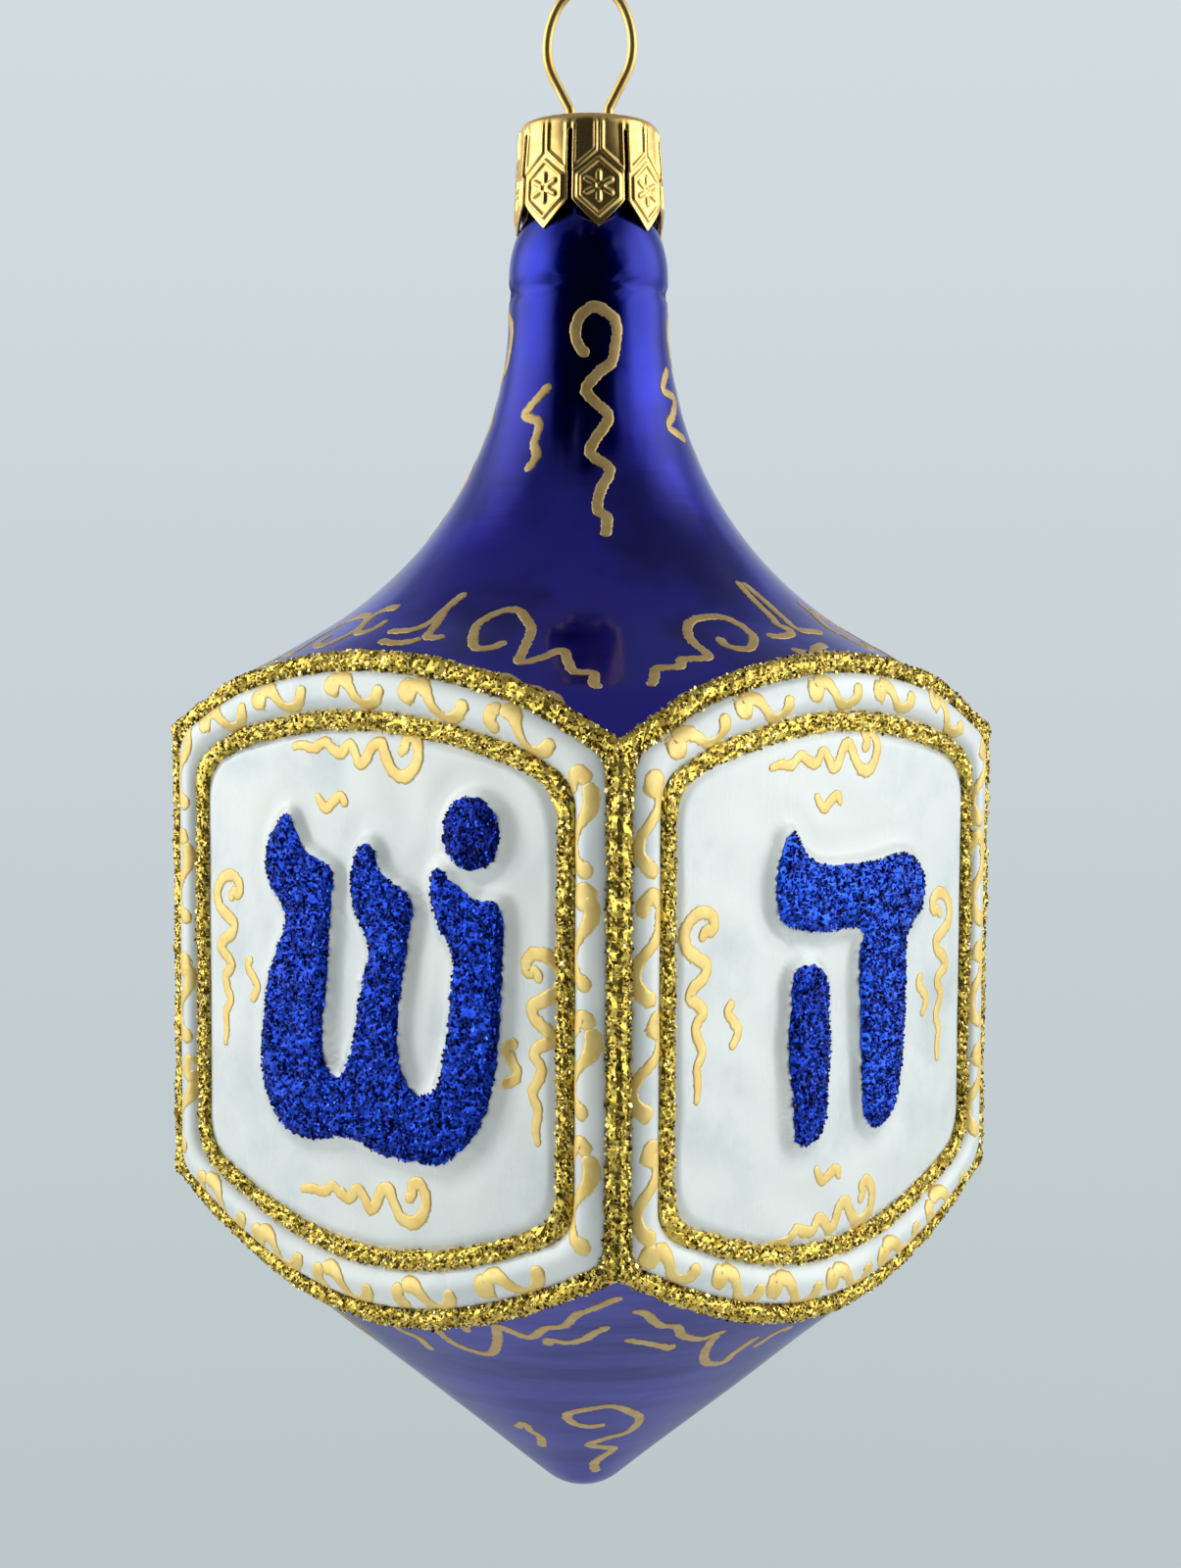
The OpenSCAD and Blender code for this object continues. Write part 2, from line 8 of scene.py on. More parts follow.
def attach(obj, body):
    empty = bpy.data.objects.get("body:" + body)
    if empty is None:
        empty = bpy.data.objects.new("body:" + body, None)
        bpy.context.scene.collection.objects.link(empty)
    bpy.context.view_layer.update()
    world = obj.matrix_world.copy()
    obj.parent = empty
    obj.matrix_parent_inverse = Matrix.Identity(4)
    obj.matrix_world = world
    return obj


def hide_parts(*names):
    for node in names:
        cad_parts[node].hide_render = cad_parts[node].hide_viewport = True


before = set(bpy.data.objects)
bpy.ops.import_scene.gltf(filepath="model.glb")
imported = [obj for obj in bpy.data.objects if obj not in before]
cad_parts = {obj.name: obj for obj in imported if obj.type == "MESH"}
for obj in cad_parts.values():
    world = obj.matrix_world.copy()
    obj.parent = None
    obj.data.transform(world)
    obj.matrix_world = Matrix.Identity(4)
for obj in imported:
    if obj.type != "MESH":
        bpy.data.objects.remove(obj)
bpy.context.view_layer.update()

mm = 0.001
# a step in millimetres that gives a slope, what counts as no distance, and the least that is divided by
nudge = 0.01
tiny = 1e-6
leastDivisor = 1e-12

# camera of the photograph: place in metres, angles in degrees, lens and sensor in millimetres
photoCamera = {"place": (0.13104, -0.15087, -0.05370), "turn": 40.868, "down": 3.852, "roll": 0.278,
               "lens": 53.12, "sensor": 36.0, "nearest": 0.005}


def addCamera():
    turn, down, roll = (math.radians(photoCamera[k]) for k in ("turn", "down", "roll"))
    right = Vector((math.cos(turn), math.sin(turn), 0))
    ahead = Vector((-math.sin(turn) * math.cos(down), math.cos(turn) * math.cos(down), -math.sin(down)))
    up = right.cross(ahead)
    side = right * math.cos(roll) + up * math.sin(roll)
    up = up * math.cos(roll) - right * math.sin(roll)
    data = bpy.data.cameras.new("photoCamera")
    data.sensor_width = photoCamera["sensor"]
    data.lens = photoCamera["lens"]
    data.clip_start = photoCamera["nearest"]
    eye = bpy.data.objects.new("photoCamera", data)
    bpy.context.scene.collection.objects.link(eye)
    axes = Matrix((side, up, -ahead)).transposed().to_4x4()
    eye.matrix_world = Matrix.Translation(photoCamera["place"]) @ axes
    bpy.context.scene.camera = eye


addCamera()
print("camera set")


# the glass form, in millimetres above the tip of the glass, as the solids have it
glass = {"width": 49.5, "bulge": 1.5, "edge": 37.9, "cone": 49.3, "tip": 5.1, "flare": 30.0,
         "shoulder": 40.0, "shoulderWidth": 5.0, "flareRadius": 32.0, "wall": 0.9, "neck": 6.8,
         "neckHeight": 2.3, "neckRound": 9.5, "mouth": 5.2, "mouthLength": 7.3, "past": 0.5,
         "eyeHeight": 128.818, "lump": 0.05, "lumpWidth": 14.0, "ringHeight": 103.4, "ringDepth": 0.34,
         "ringWidth": 0.45}

half = glass["width"] / 2
middleOut = half + glass["bulge"]
faceRadius = (half ** 2 + glass["bulge"] ** 2) / (2 * glass["bulge"])
coneTan = math.tan(math.radians(glass["cone"]))
flareTan = math.tan(math.radians(glass["flare"]))
shoulderTan = math.tan(math.radians(glass["shoulder"]))
flareSin = math.sin(math.radians(glass["flare"]))
apexZ = glass["tip"] - glass["tip"] / math.sin(math.radians(glass["cone"]))
lowZ = apexZ + half * math.sqrt(2) / coneTan
topZ = lowZ + glass["edge"]
midZ = (lowZ + topZ) / 2
browR = half * math.sqrt(2) - glass["shoulderWidth"]
browZ = topZ + glass["shoulderWidth"] * shoulderTan
curveX = glass["neck"] + glass["flareRadius"]
curveZ = browZ + (glass["flareRadius"] - (curveX - browR) * flareSin) / math.sqrt(1 - flareSin ** 2)
flareInR = curveX - glass["flareRadius"] * flareSin
roundZ = curveZ + glass["neckHeight"]
roundX = glass["neck"] - glass["neckRound"]
roundTurn = math.acos((glass["mouth"] - roundX) / glass["neckRound"])
mouthZ = roundZ + glass["neckRound"] * math.sin(roundTurn) + glass["mouthLength"]


def upperZ(r):
    r = np.asarray(r, float)
    curve = curveZ - np.sqrt(np.maximum(glass["flareRadius"] ** 2 - (curveX - r) ** 2, 0))
    slope = browZ - (r - browR) * np.where(r > browR, shoulderTan, flareTan)
    return np.where(r < flareInR, curve, slope)


def lowerZ(r):
    return apexZ + np.asarray(r, float) / coneTan


def faceOut(u):
    return np.sqrt(faceRadius ** 2 - np.asarray(u, float) ** 2) - (faceRadius - middleOut)


def edgeDist(u):
    return np.hypot(u, faceOut(u))


def slopeZ(r, side):
    return upperZ(r) if side > 0 else lowerZ(r)


def edgeZ(u, side):
    return slopeZ(edgeDist(u), side)


def onFace(spots, out):
    # spots: u across the side and v up from its middle
    u, v = spots[..., 0], spots[..., 1]
    return np.stack([u, -(faceOut(u) + out), v + midZ], -1)


def faceWay(u):
    # outward direction of a side at u
    return unit(np.stack([u, -faceOut(u) - faceRadius + middleOut, 0 * u], -1))


def turned(points, k):
    points = np.asarray(points, float)
    c, s = [(1, 0), (0, 1), (-1, 0), (0, -1)][k % 4]
    x, y = points[..., 0], points[..., 1]
    return np.stack([x * c - y * s, x * s + y * c, points[..., 2]], -1)


def lumps(points, width, seed, waves=8, pace=(0.6, 1.6)):
    # slow hand-blown unevenness, about -1 to 1
    draw = np.random.default_rng(seed)
    total = 0
    for _ in range(waves):
        way = draw.normal(size=3)
        way *= 2 * math.pi / width * draw.uniform(*pace) / np.linalg.norm(way)
        total = total + np.sin(np.asarray(points) @ way + draw.uniform(0, 2 * math.pi))
    return total / (waves / 2)


def swing(draw, most, size=None):
    # an even draw to either side of nothing
    return draw.uniform(-most, most, size)


def smoothStep(x, low, high):
    t = np.clip((np.asarray(x, float) - low) / (high - low), 0, 1)
    return t * t * (3 - 2 * t)


def unit(vectors):
    return vectors / np.maximum(np.linalg.norm(vectors, axis=-1, keepdims=True), leastDivisor)


def ringAt(way, r, z):
    # a row of points round the axis: way, one direction for each, and its radius and height
    whole = np.ones(len(way))
    return np.column_stack([way * (r * whole)[:, None], z * whole])


def runAlong(points):
    return np.concatenate([[0], np.cumsum(np.linalg.norm(np.diff(points, axis=0), axis=1))])


def arcPoints(x, z, radius, turn):
    return np.stack([x + radius * np.cos(turn), z + radius * np.sin(turn)], -1)


curveSteps = 12


def smoothLine(points, step, closed=False, places=2):
    # even points along a smooth curve through the given ones, whose first columns are the place
    pts = np.asarray(points, float)
    n = len(pts)
    spots = []
    for i in range(n if closed else n - 1):
        a, b, c, d = (pts[j % n] if closed else pts[min(max(j, 0), n - 1)] for j in (i - 1, i, i + 1, i + 2))
        for t in np.linspace(0, 1, curveSteps, endpoint=False):
            spots.append((2 * b + (c - a) * t + (2 * a - 5 * b + 4 * c - d) * t ** 2
                          + (3 * b - a - 3 * c + d) * t ** 3) / 2)
    spots.append(spots[0] if closed else pts[-1])
    spots = np.array(spots)
    run = runAlong(spots[:, :places])
    count = max(3, int(round(run[-1] / step)) + 1)
    at = np.linspace(0, run[-1], count)
    line = np.stack([np.interp(at, run, spots[:, j]) for j in range(spots.shape[1])], -1)
    return line[:-1] if closed else line


def gridFaces(rows, cols, wrap=True, start=0):
    i, j = np.meshgrid(np.arange(rows - 1), np.arange(cols if wrap else cols - 1), indexing="ij")
    k = (j + 1) % cols
    quads = np.stack([i * cols + j, i * cols + k, (i + 1) * cols + k, (i + 1) * cols + j], -1).reshape(-1, 4)
    return (quads + start).tolist()


def fanEnds(rows, cols, low, high):
    # closes both ends of a grid onto the points low and high
    base = (rows - 1) * cols
    return [[low, (j + 1) % cols, j] for j in range(cols)] + \
        [[high, base + j, base + (j + 1) % cols] for j in range(cols)]


def flatEnds(rows, cols):
    return [list(range(cols))[::-1], [(rows - 1) * cols + j for j in range(cols)]]


def sheetPiece(outer, inner, faces):
    # thin closed sheet: two skins, joined along every free edge
    n = len(outer)
    edges = dict.fromkeys(pair for face in faces for pair in zip(face, face[1:] + face[:1]))
    walls = [[b, a, a + n, b + n] for a, b in edges if (b, a) not in edges]
    return np.concatenate([outer, inner]), faces + [[i + n for i in face[::-1]] for face in faces] + walls


def joined(parts):
    verts, faces, start = [], [], 0
    for v, f in parts:
        verts.append(v)
        faces += [[i + start for i in face] for face in f]
        start += len(v)
    return np.concatenate(verts), faces


def aboutZ(degrees):
    a = math.radians(degrees)
    return np.array([[math.cos(a), math.sin(a), 0], [-math.sin(a), math.cos(a), 0], [0, 0, 1]])


def addPiece(name, verts, faces, look, nodes=(), smooth=True, sharp=None):
    material, body, slot = looks[look]
    place = np.asarray(verts, float) - (0, 0, glass["eyeHeight"])
    mesh = bpy.data.meshes.new(name)
    mesh.from_pydata((place * mm).tolist(), [], faces)
    mesh.validate()
    mesh.materials.append(material)
    mesh.polygons.foreach_set("use_smooth", np.full(len(mesh.polygons), smooth))
    if sharp is not None:
        for edge in mesh.edges:
            if sharp[edge.vertices[0]] and sharp[edge.vertices[1]]:
                edge.use_edge_sharp = True
    mesh.update()
    piece = bpy.data.objects.new(name, mesh)
    bpy.context.scene.collection.objects.link(piece)
    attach(piece, body)
    if nodes:
        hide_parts(*nodes)


def surfaceTree(verts, faces):
    return BVHTree.FromPolygons([Vector(p) for p in verts], faces)


def newMaterial(name):
    material = bpy.data.materials.new(name)
    material.use_nodes = True
    tree = material.node_tree
    return material, tree, tree.nodes["Principled BSDF"]


def feed(tree, node, inputs):
    # a socket is linked, and anything else is set
    for key, value in inputs.items():
        if isinstance(value, bpy.types.NodeSocket):
            tree.links.new(value, node.inputs[key])
        else:
            node.inputs[key].default_value = value


def addNode(tree, kind, inputs=None, **fields):
    node = tree.nodes.new(kind)
    for key, value in fields.items():
        setattr(node, key, value)
    feed(tree, node, inputs or {})
    return node


def addRamp(tree, fac, stops):
    node = addNode(tree, "ShaderNodeValToRGB", {"Fac": fac})
    marks = node.color_ramp.elements
    while len(marks) < len(stops):
        marks.new(0.5)
    for mark, (at, colour) in zip(marks, stops):
        mark.position = at
        mark.color = (*colour, 1)
    return node.outputs["Color"]


def addMath(tree, a, b, operation):
    return addNode(tree, "ShaderNodeMath", {0: a, 1: b}, operation=operation).outputs["Value"]


def addRange(tree, value, low, high, start=0.0, end=1.0, kind="LINEAR"):
    # low to high become start to end
    node = addNode(tree, "ShaderNodeMapRange", {"Value": value, "From Min": low, "From Max": high,
                                                "To Min": start, "To Max": end}, interpolation_type=kind)
    return node.outputs["Result"]


def addMix(tree, share, first, second):
    return addNode(tree, "ShaderNodeMix", {0: share, 6: first, 7: second}, data_type="RGBA").outputs[2]


def addBump(tree, height, strength, depth):
    # depth in millimetres
    node = addNode(tree, "ShaderNodeBump", {"Height": height, "Strength": strength, "Distance": depth * mm})
    return node.outputs["Normal"]


def addNoise(tree, place, size, detail=3.0, rough=0.55):
    # size: width of the mottling in millimetres
    node = addNode(tree, "ShaderNodeTexNoise", {"Vector": place, "Scale": 1 / mm / size, "Detail": detail,
                                                "Roughness": rough})
    return node.outputs["Fac"]


def stretched(tree, place, scale):
    return addNode(tree, "ShaderNodeMapping", {"Vector": place, "Scale": scale}).outputs["Vector"]


def flatDistance(tree, place, middle):
    # distance from the middle, with all heights left out
    flat = addNode(tree, "ShaderNodeVectorMath", {0: place, 1: (1, 1, 0)}, operation="MULTIPLY")
    away = addNode(tree, "ShaderNodeVectorMath", {0: flat.outputs["Vector"], 1: middle}, operation="DISTANCE")
    return away.outputs["Value"]


def objectPlace(tree):
    return addNode(tree, "ShaderNodeTexCoord").outputs["Object"]


# lacquer over silvered glass; its zones run from the tip up, each with the noise that mottles it, where its
# two tones part, and the heights in metres over which it gives way to the next; the darker tip zone is
# painted shade
lacquer = {"edge": (0.58, 0.60, 1.0), "roughness": (0.18, 0.28), "fine": 0.7, "coat": 0.5,
           "coatRoughness": 0.08, "mottle": 11.0, "streak": 2.2, "streakStretch": (0.12, 0.12, 1.0),
           "bump": 0.35, "bumpDepth": 0.25, "cloudBump": 2.6}
lacquerZones = {
    # painted shade: the tip zone's tones are darker than the cone's, dimming the lowest part of the cone
    "tip": {"noise": "streak", "deep": (0.010, 0.011, 0.13), "light": (0.022, 0.026, 0.21),
            "stops": (0.36, 0.66), "fade": (-0.128, -0.108)},
    "cone": {"noise": "streak", "deep": (0.010, 0.011, 0.13), "light": (0.070, 0.068, 0.34),
             "stops": (0.36, 0.66), "fade": (-0.094, -0.085)},
    "shoulder": {"noise": "cloud", "deep": (0.012, 0.007, 0.19), "light": (0.034, 0.024, 0.44),
                 "stops": (0.42, 0.58), "fade": (-0.050, -0.030)},
    "neck": {"noise": "cloud", "deep": (0.001, 0.004, 0.19), "light": (0.003, 0.011, 0.31),
             "stops": (0.36, 0.60), "fade": None}}


def lacquerMaterial():
    material, tree, shader = newMaterial("blueLacquer")
    place = objectPlace(tree)
    # brush streaks run round the cone
    noises = {"cloud": addNoise(tree, place, lacquer["mottle"]),
              "streak": addNoise(tree, stretched(tree, place, lacquer["streakStretch"]), lacquer["streak"])}
    height = addNode(tree, "ShaderNodeSeparateXYZ", {"Vector": place}).outputs["Z"]
    colour, fade = None, None
    # the zones mix by height, so the painted shade of the tip fades into the cone above it
    for zone in lacquerZones.values():
        tone = addRamp(tree, noises[zone["noise"]], list(zip(zone["stops"], (zone["deep"], zone["light"]))))
        colour = addMix(tree, addRange(tree, height, *fade), colour, tone) if fade else tone
        fade = zone["fade"]
    fine = addNoise(tree, place, lacquer["fine"], 4.0)
    clouds = addMath(tree, noises["cloud"], lacquer["cloudBump"], "MULTIPLY")
    relief = addMath(tree, noises["streak"], clouds, "ADD")
    feed(tree, shader, {
        "Base Color": colour, "Specular Tint": (*lacquer["edge"], 1), "Metallic": 1.0,
        "Roughness": addRange(tree, fine, 0, 1, *lacquer["roughness"]),
        "Coat Weight": lacquer["coat"], "Coat Roughness": lacquer["coatRoughness"],
        "Normal": addBump(tree, relief, lacquer["bump"], lacquer["bumpDepth"])})
    return material


# coatings: "cloud" mottles the colour, "grain" the roughness and the relief; a noise has its width in
# millimetres, detail, roughness and stretch
enamel = {"tones": [(0.28, (0.62, 0.700, 0.705)), (0.5, (0.80, 0.860, 0.840)), (0.74, (0.85, 0.885, 0.83))],
          "cloud": (8.0, 5.0, 0.6, (1, 1, 1)), "grain": (1.6, 3.0, 0.55, (1, 1, 0.3)),
          "roughness": (0.17, 0.34), "bump": (0.10, 0.3),
          "shader": {"Coat Weight": 0.9, "Coat Roughness": 0.06}}
# gold paint: thinner on the glass, brighter over the white enamel
glassPaint = {"tones": [(0.3, (0.50, 0.33, 0.11)), (0.72, (0.66, 0.48, 0.20))],
              "cloud": (1.3, 4.0, 0.6, (1, 1, 1)), "grain": (0.25, 2.0, 0.55, (1, 1, 1)),
              "roughness": (0.32, 0.56), "shader": {"Metallic": 0.55}}
facePaint = {**glassPaint, "tones": [(0.3, (0.90, 0.61, 0.17)), (0.72, (1.0, 0.81, 0.30))],
             "roughness": (0.30, 0.54), "shader": {"Metallic": 0.35}}
capMetal = {"tones": [(0.25, (0.84, 0.46, 0.11)), (0.6, (1.0, 0.71, 0.25))],
            "cloud": (0.8, 4.0, 0.6, (1, 1, 1)), "grain": (0.8, 4.0, 0.6, (1, 1, 1)),
            "roughness": (0.35, 0.21), "bump": (0.08, 0.1), "shader": {"Metallic": 1.0}}
wireMetal = {**capMetal, "cloud": (0.8, 4.0, 0.6, (1, 1, 0.1)), "grain": (0.8, 4.0, 0.6, (1, 1, 0.1)),
             "roughness": (0.44, 0.30)}


def coatMaterial(name, coat):
    material, tree, shader = newMaterial(name)
    place = objectPlace(tree)
    cloud, grain = (addNoise(tree, stretched(tree, place, stretch), size, detail, rough)
                    for size, detail, rough, stretch in (coat["cloud"], coat["grain"]))
    feed(tree, shader, {"Base Color": addRamp(tree, cloud, coat["tones"]),
                        "Roughness": addRange(tree, grain, 0, 1, *coat["roughness"]), **coat["shader"]})
    if "bump" in coat:
        feed(tree, shader, {"Normal": addBump(tree, grain, *coat["bump"])})
    return material


# glitter: tones from the darkest flake to the brightest; the near-black ones are painted shade between the
# grains and the palest ones painted sparkle
goldGlitter = {"roughness": 0.22, "tones": [
    (0.0, (0.020, 0.011, 0.001)), (0.22, (0.13, 0.078, 0.010)), (0.42, (0.52, 0.34, 0.050)),
    (0.66, (0.98, 0.76, 0.15)), (1.0, (1.0, 0.97, 0.62))]}
blueGlitter = {"roughness": 0.26, "tones": [
    (0.0, (0.001, 0.002, 0.016)), (0.3, (0.002, 0.007, 0.09)), (0.62, (0.006, 0.030, 0.38)),
    (0.86, (0.020, 0.11, 0.85)), (1.0, (0.30, 0.66, 1.0))]}
# a share of fine noise blended into the flakes' painted sparkle and shade
glitterGrain = {"size": 0.5, "share": 0.25, "metal": 0.9}


def glitterMaterial(name, glitter):
    # every flake takes a tone of its own, a spread of painted sparkle and painted shade
    material, tree, shader = newMaterial(name)
    draw = addNode(tree, "ShaderNodeNewGeometry").outputs["Random Per Island"]
    grain = addNoise(tree, objectPlace(tree), glitterGrain["size"], 2.0)
    mixed = addNode(tree, "ShaderNodeMix", {"Factor": glitterGrain["share"], "A": draw, "B": grain},
                    data_type="FLOAT")
    feed(tree, shader, {"Base Color": addRamp(tree, mixed.outputs["Result"], glitter["tones"]),
                        "Metallic": glitterGrain["metal"], "Roughness": glitter["roughness"]})
    return material


# material, body and slot of each look
looks = {"lacquer": (lacquerMaterial(), "ornament", "lacquered_glass"),
         "enamel": (coatMaterial("whiteEnamel", enamel), "ornament", "white_enamel"),
         "goldGlitter": (glitterMaterial("goldGlitter", goldGlitter), "ornament", "gold_glitter"),
         "blueGlitter": (glitterMaterial("blueGlitter", blueGlitter), "ornament", "blue_glitter"),
         "glassPaint": (coatMaterial("goldPaint", glassPaint), "ornament", "gold_glitter"),
         "facePaint": (coatMaterial("brightGoldPaint", facePaint), "ornament", "gold_glitter"),
         "cap": (coatMaterial("goldCap", capMetal), "cap", "gold_cap"),
         "wire": (coatMaterial("goldWire", wireMetal), "hanger", "gold_wire")}
print("finishes made")


# blown glass in one closed shell: steps along the cone, the hidden sides, the trumpet and the neck
glassSteps = {"side": 48, "tip": 8, "cone": 40, "face": 8, "shoulder": 60, "flare": 50, "neck": 24,
              "trumpet": 96, "inner": 48, "innerCone": 14}
# inner skin: where on the outline it leaves the shoulder, how far inside the cone it runs, and the heights
# of its last row and of its tip
glassInside = {"start": 8.0, "coneInset": 1.4, "floor": 4.0, "tip": 1.6}
# unevenness fades over "calm" beside the creases and the tip, and over "capCalm" under the cap; a push on
# the wall goes up by these shares at these heights
glassSwell = {"calm": (0.5, 6), "capCalm": (-107, -100), "seed": 5, "heights": [70, 80, 92, 103],
              "shares": [0.87, 0.75, 0.4, 0.0], "coneShare": -0.65}


def glassProfile():
    # upper outline from far out on the shoulder to the mouth
    r = np.linspace(half * math.sqrt(2) + glass["past"], flareInR, glassSteps["shoulder"])
    slope = np.stack([r, upperZ(r)], -1)
    turn = np.radians(np.linspace(270 - glass["flare"], 180, glassSteps["flare"])[1:])
    curve = arcPoints(curveX, curveZ, glass["flareRadius"], turn)
    neck = arcPoints(roundX, roundZ, glass["neckRound"], np.linspace(0, roundTurn, glassSteps["neck"]))
    return np.concatenate([slope, curve, neck, [[glass["mouth"], mouthZ]]])


profile = glassProfile()
profileRun = runAlong(profile)


def profileAt(run):
    return np.interp(run, profileRun, profile[:, 0]), np.interp(run, profileRun, profile[:, 1])


def outerRows(way, far):
    # rows of points from the tip to the mouth, and which of them are the two creases
    tipTurn = np.radians(np.linspace(-90, -glass["cone"], glassSteps["tip"])[1:])
    tipRows = [(glass["tip"] * math.cos(a), glass["tip"] + glass["tip"] * math.sin(a)) for a in tipTurn]
    rows = [ringAt(way, r, z) for r, z in tipRows]
    for t in np.linspace(0, 1, glassSteps["cone"])[1:]:
        r = tipRows[-1][0] + (far - tipRows[-1][0]) * t
        rows.append(ringAt(way, r, lowerZ(r)))
    creases = [len(rows) - 1]
    lowEdge, topEdge = lowerZ(far), upperZ(far)
    for t in np.linspace(0, 1, glassSteps["face"] + 1)[1:]:
        rows.append(ringAt(way, far, lowEdge + (topEdge - lowEdge) * t))
    creases.append(len(rows) - 1)
    onShoulder = slice(0, glassSteps["shoulder"])
    startRun = np.interp(-far, -profile[onShoulder, 0], profileRun[onShoulder])
    for t in np.linspace(0, 1, glassSteps["trumpet"])[1:]:
        rows.append(ringAt(way, *profileAt(startRun + (profileRun[-1] - startRun) * t)))
    return np.array(rows), creases


def swellWall(points, way, low, top):
    # slow unevenness of the blown wall and the ring round the neck
    z = points[:, 2].copy()
    calm = 1
    for away in (np.abs(z - top), np.abs(z - low), z):
        calm = calm * smoothStep(away, *glassSwell["calm"])
    calm = calm * smoothStep(-z, *glassSwell["capCalm"])
    swell = glass["lump"] * (lumps(points, glass["lumpWidth"], glassSwell["seed"]) - 1) * calm
    swell -= glass["ringDepth"] * np.exp(-((z - glass["ringHeight"]) / glass["ringWidth"]) ** 2)
    upShare = np.where(z > top + nudge, np.interp(z, glassSwell["heights"], glassSwell["shares"]),
                       np.where(z < low - nudge, glassSwell["coneShare"], 0.0))
    points[:, :2] += way * (swell * np.sqrt(1 - upShare ** 2))[:, None]
    points[:, 2] += swell * upShare


def innerRows(way, far):
    # inner skin from the mouth down, one wall inside
    rows = []
    for t in np.linspace(0, 1, glassSteps["inner"]):
        r, z = profileAt(profileRun[-1] - (profileRun[-1] - glassInside["start"]) * t)
        r = np.minimum(r - glass["wall"], far - 2 * glass["wall"])
        rows.append(ringAt(way, r, z - glass["wall"] * t))
    low = rows[-1][:, 2].min()
    for t in np.linspace(0, 1, glassSteps["innerCone"])[1:]:
        z = low + (glassInside["floor"] - low) * t
        r = np.minimum((z - apexZ) * coneTan - glassInside["coneInset"], far - 2 * glass["wall"])
        rows.append(ringAt(way, r, z))
    return np.array(rows)


def addGlass():
    steps = np.linspace(-half, half, glassSteps["side"], endpoint=False)
    spots = np.concatenate([turned(onFace(np.column_stack([steps, 0 * steps]), 0), k) for k in range(4)])
    way = unit(spots[:, :2])
    far = np.linalg.norm(spots[:, :2], axis=1)
    cols = len(way)
    outer, creases = outerRows(way, far)
    inner = innerRows(way, far)
    flat = outer.reshape(-1, 3)
    n = len(outer)
    swellWall(flat, np.tile(way, (n, 1)), np.tile(lowerZ(far), n), np.tile(upperZ(far), n))
    verts = np.concatenate([flat, inner.reshape(-1, 3), [[0, 0, 0], [0, 0, glassInside["tip"]]]])
    total = n + len(inner)
    faces = gridFaces(total, cols) + fanEnds(total, cols, len(verts) - 2, len(verts) - 1)
    sharp = np.zeros(len(verts), bool)
    for row in creases:
        sharp[row * cols:(row + 1) * cols] = True
    addPiece("blownGlass", verts, faces, "lacquer", ["glass_body"], sharp=sharp)
    return surfaceTree(verts, faces)


glassTree = addGlass()
print("glass blown")


# letters: outlines in thousandths of the letter height, about the middle of the letter
letter = {"height": 26.2, "up": -0.3, "right": 1.4, "spread": 0.4}
shinDot = {"across": 0.415, "up": 0.485, "radius": 0.104, "points": 16}
letterTables = {
    "shin": [
        [(-345, 495), (-320, 450), (-280, 400), (-210, 370), (-145, 330), (-160, 240), (-165, 140),
         (-175, 40), (-190, -90), (-200, -190), (-185, -250), (-155, -280), (-120, -280), (-90, -250),
         (-55, -160), (-30, -40), (0, 65), (10, 120), (-20, 180), (-55, 240), (-65, 315), (-50, 385),
         (-20, 425), (10, 430), (35, 405), (55, 360), (100, 325), (150, 305), (185, 270), (175, 205),
         (160, 115), (145, 25), (130, -75), (125, -165), (140, -225), (165, -270), (200, -295),
         (240, -290), (285, -260), (310, -175), (330, -85), (340, 15), (350, 100), (335, 155),
         (295, 205), (270, 270), (260, 320), (270, 360), (290, 380), (315, 360), (345, 335), (385, 315),
         (430, 295), (480, 295), (515, 285), (530, 215), (525, 105), (520, 0), (510, -110), (495, -220),
         (470, -305), (420, -385), (360, -445), (290, -485), (205, -490), (115, -490), (25, -480),
         (-40, -460), (-110, -460), (-180, -475), (-265, -485), (-350, -475), (-420, -425),
         (-460, -360), (-480, -265), (-470, -135), (-445, -15), (-405, 80), (-365, 155), (-375, 215),
         (-430, 270), (-455, 335), (-440, 415), (-400, 470), (-370, 495)]],
    "he": [
        [(-320, 470), (-295, 435), (-255, 400), (-185, 370), (-80, 360), (90, 360), (230, 375),
         (310, 360), (370, 310), (385, 255), (365, 190), (290, 130), (275, 65), (275, -35), (270, -160),
         (260, -260), (240, -350), (215, -415), (165, -455), (110, -465), (60, -430), (40, -370),
         (35, -270), (30, -150), (20, -25), (15, 55), (25, 115), (35, 150), (-20, 170), (-160, 170),
         (-270, 185), (-355, 205), (-395, 250), (-405, 320), (-395, 390), (-365, 450), (-345, 470)],
        [(-240, 75), (-185, 55), (-155, 10), (-150, -85), (-140, -185), (-150, -295), (-160, -390),
         (-185, -440), (-230, -460), (-280, -455), (-310, -420), (-315, -340), (-330, -240),
         (-340, -140), (-330, -45), (-330, 20), (-310, 60), (-275, 75)]],
    "gimel": [
        [(-120, 470), (-90, 410), (-10, 370), (100, 365), (190, 340), (225, 260), (215, 100),
         (205, -60), (240, -200), (300, -330), (315, -430), (260, -490), (180, -470), (130, -380),
         (90, -270), (20, -300), (-60, -350), (-130, -430), (-200, -475), (-270, -450), (-290, -370),
         (-250, -280), (-150, -200), (-50, -130), (0, -40), (5, 80), (-10, 165), (-80, 180),
         (-170, 200), (-215, 260), (-225, 340), (-205, 420), (-165, 460)]],
    "nun": [
        [(-110, 470), (-80, 410), (0, 370), (110, 365), (200, 335), (235, 250), (225, 50), (215, -150),
         (205, -330), (160, -450), (70, -490), (-100, -485), (-240, -475), (-300, -420), (-295, -340),
         (-240, -290), (-120, -285), (-30, -270), (5, -190), (10, -20), (5, 120), (-30, 175),
         (-110, 190), (-180, 215), (-215, 280), (-220, 360), (-200, 430), (-155, 465)]]}
faceNames = ["shin", "he", "gimel", "nun"]


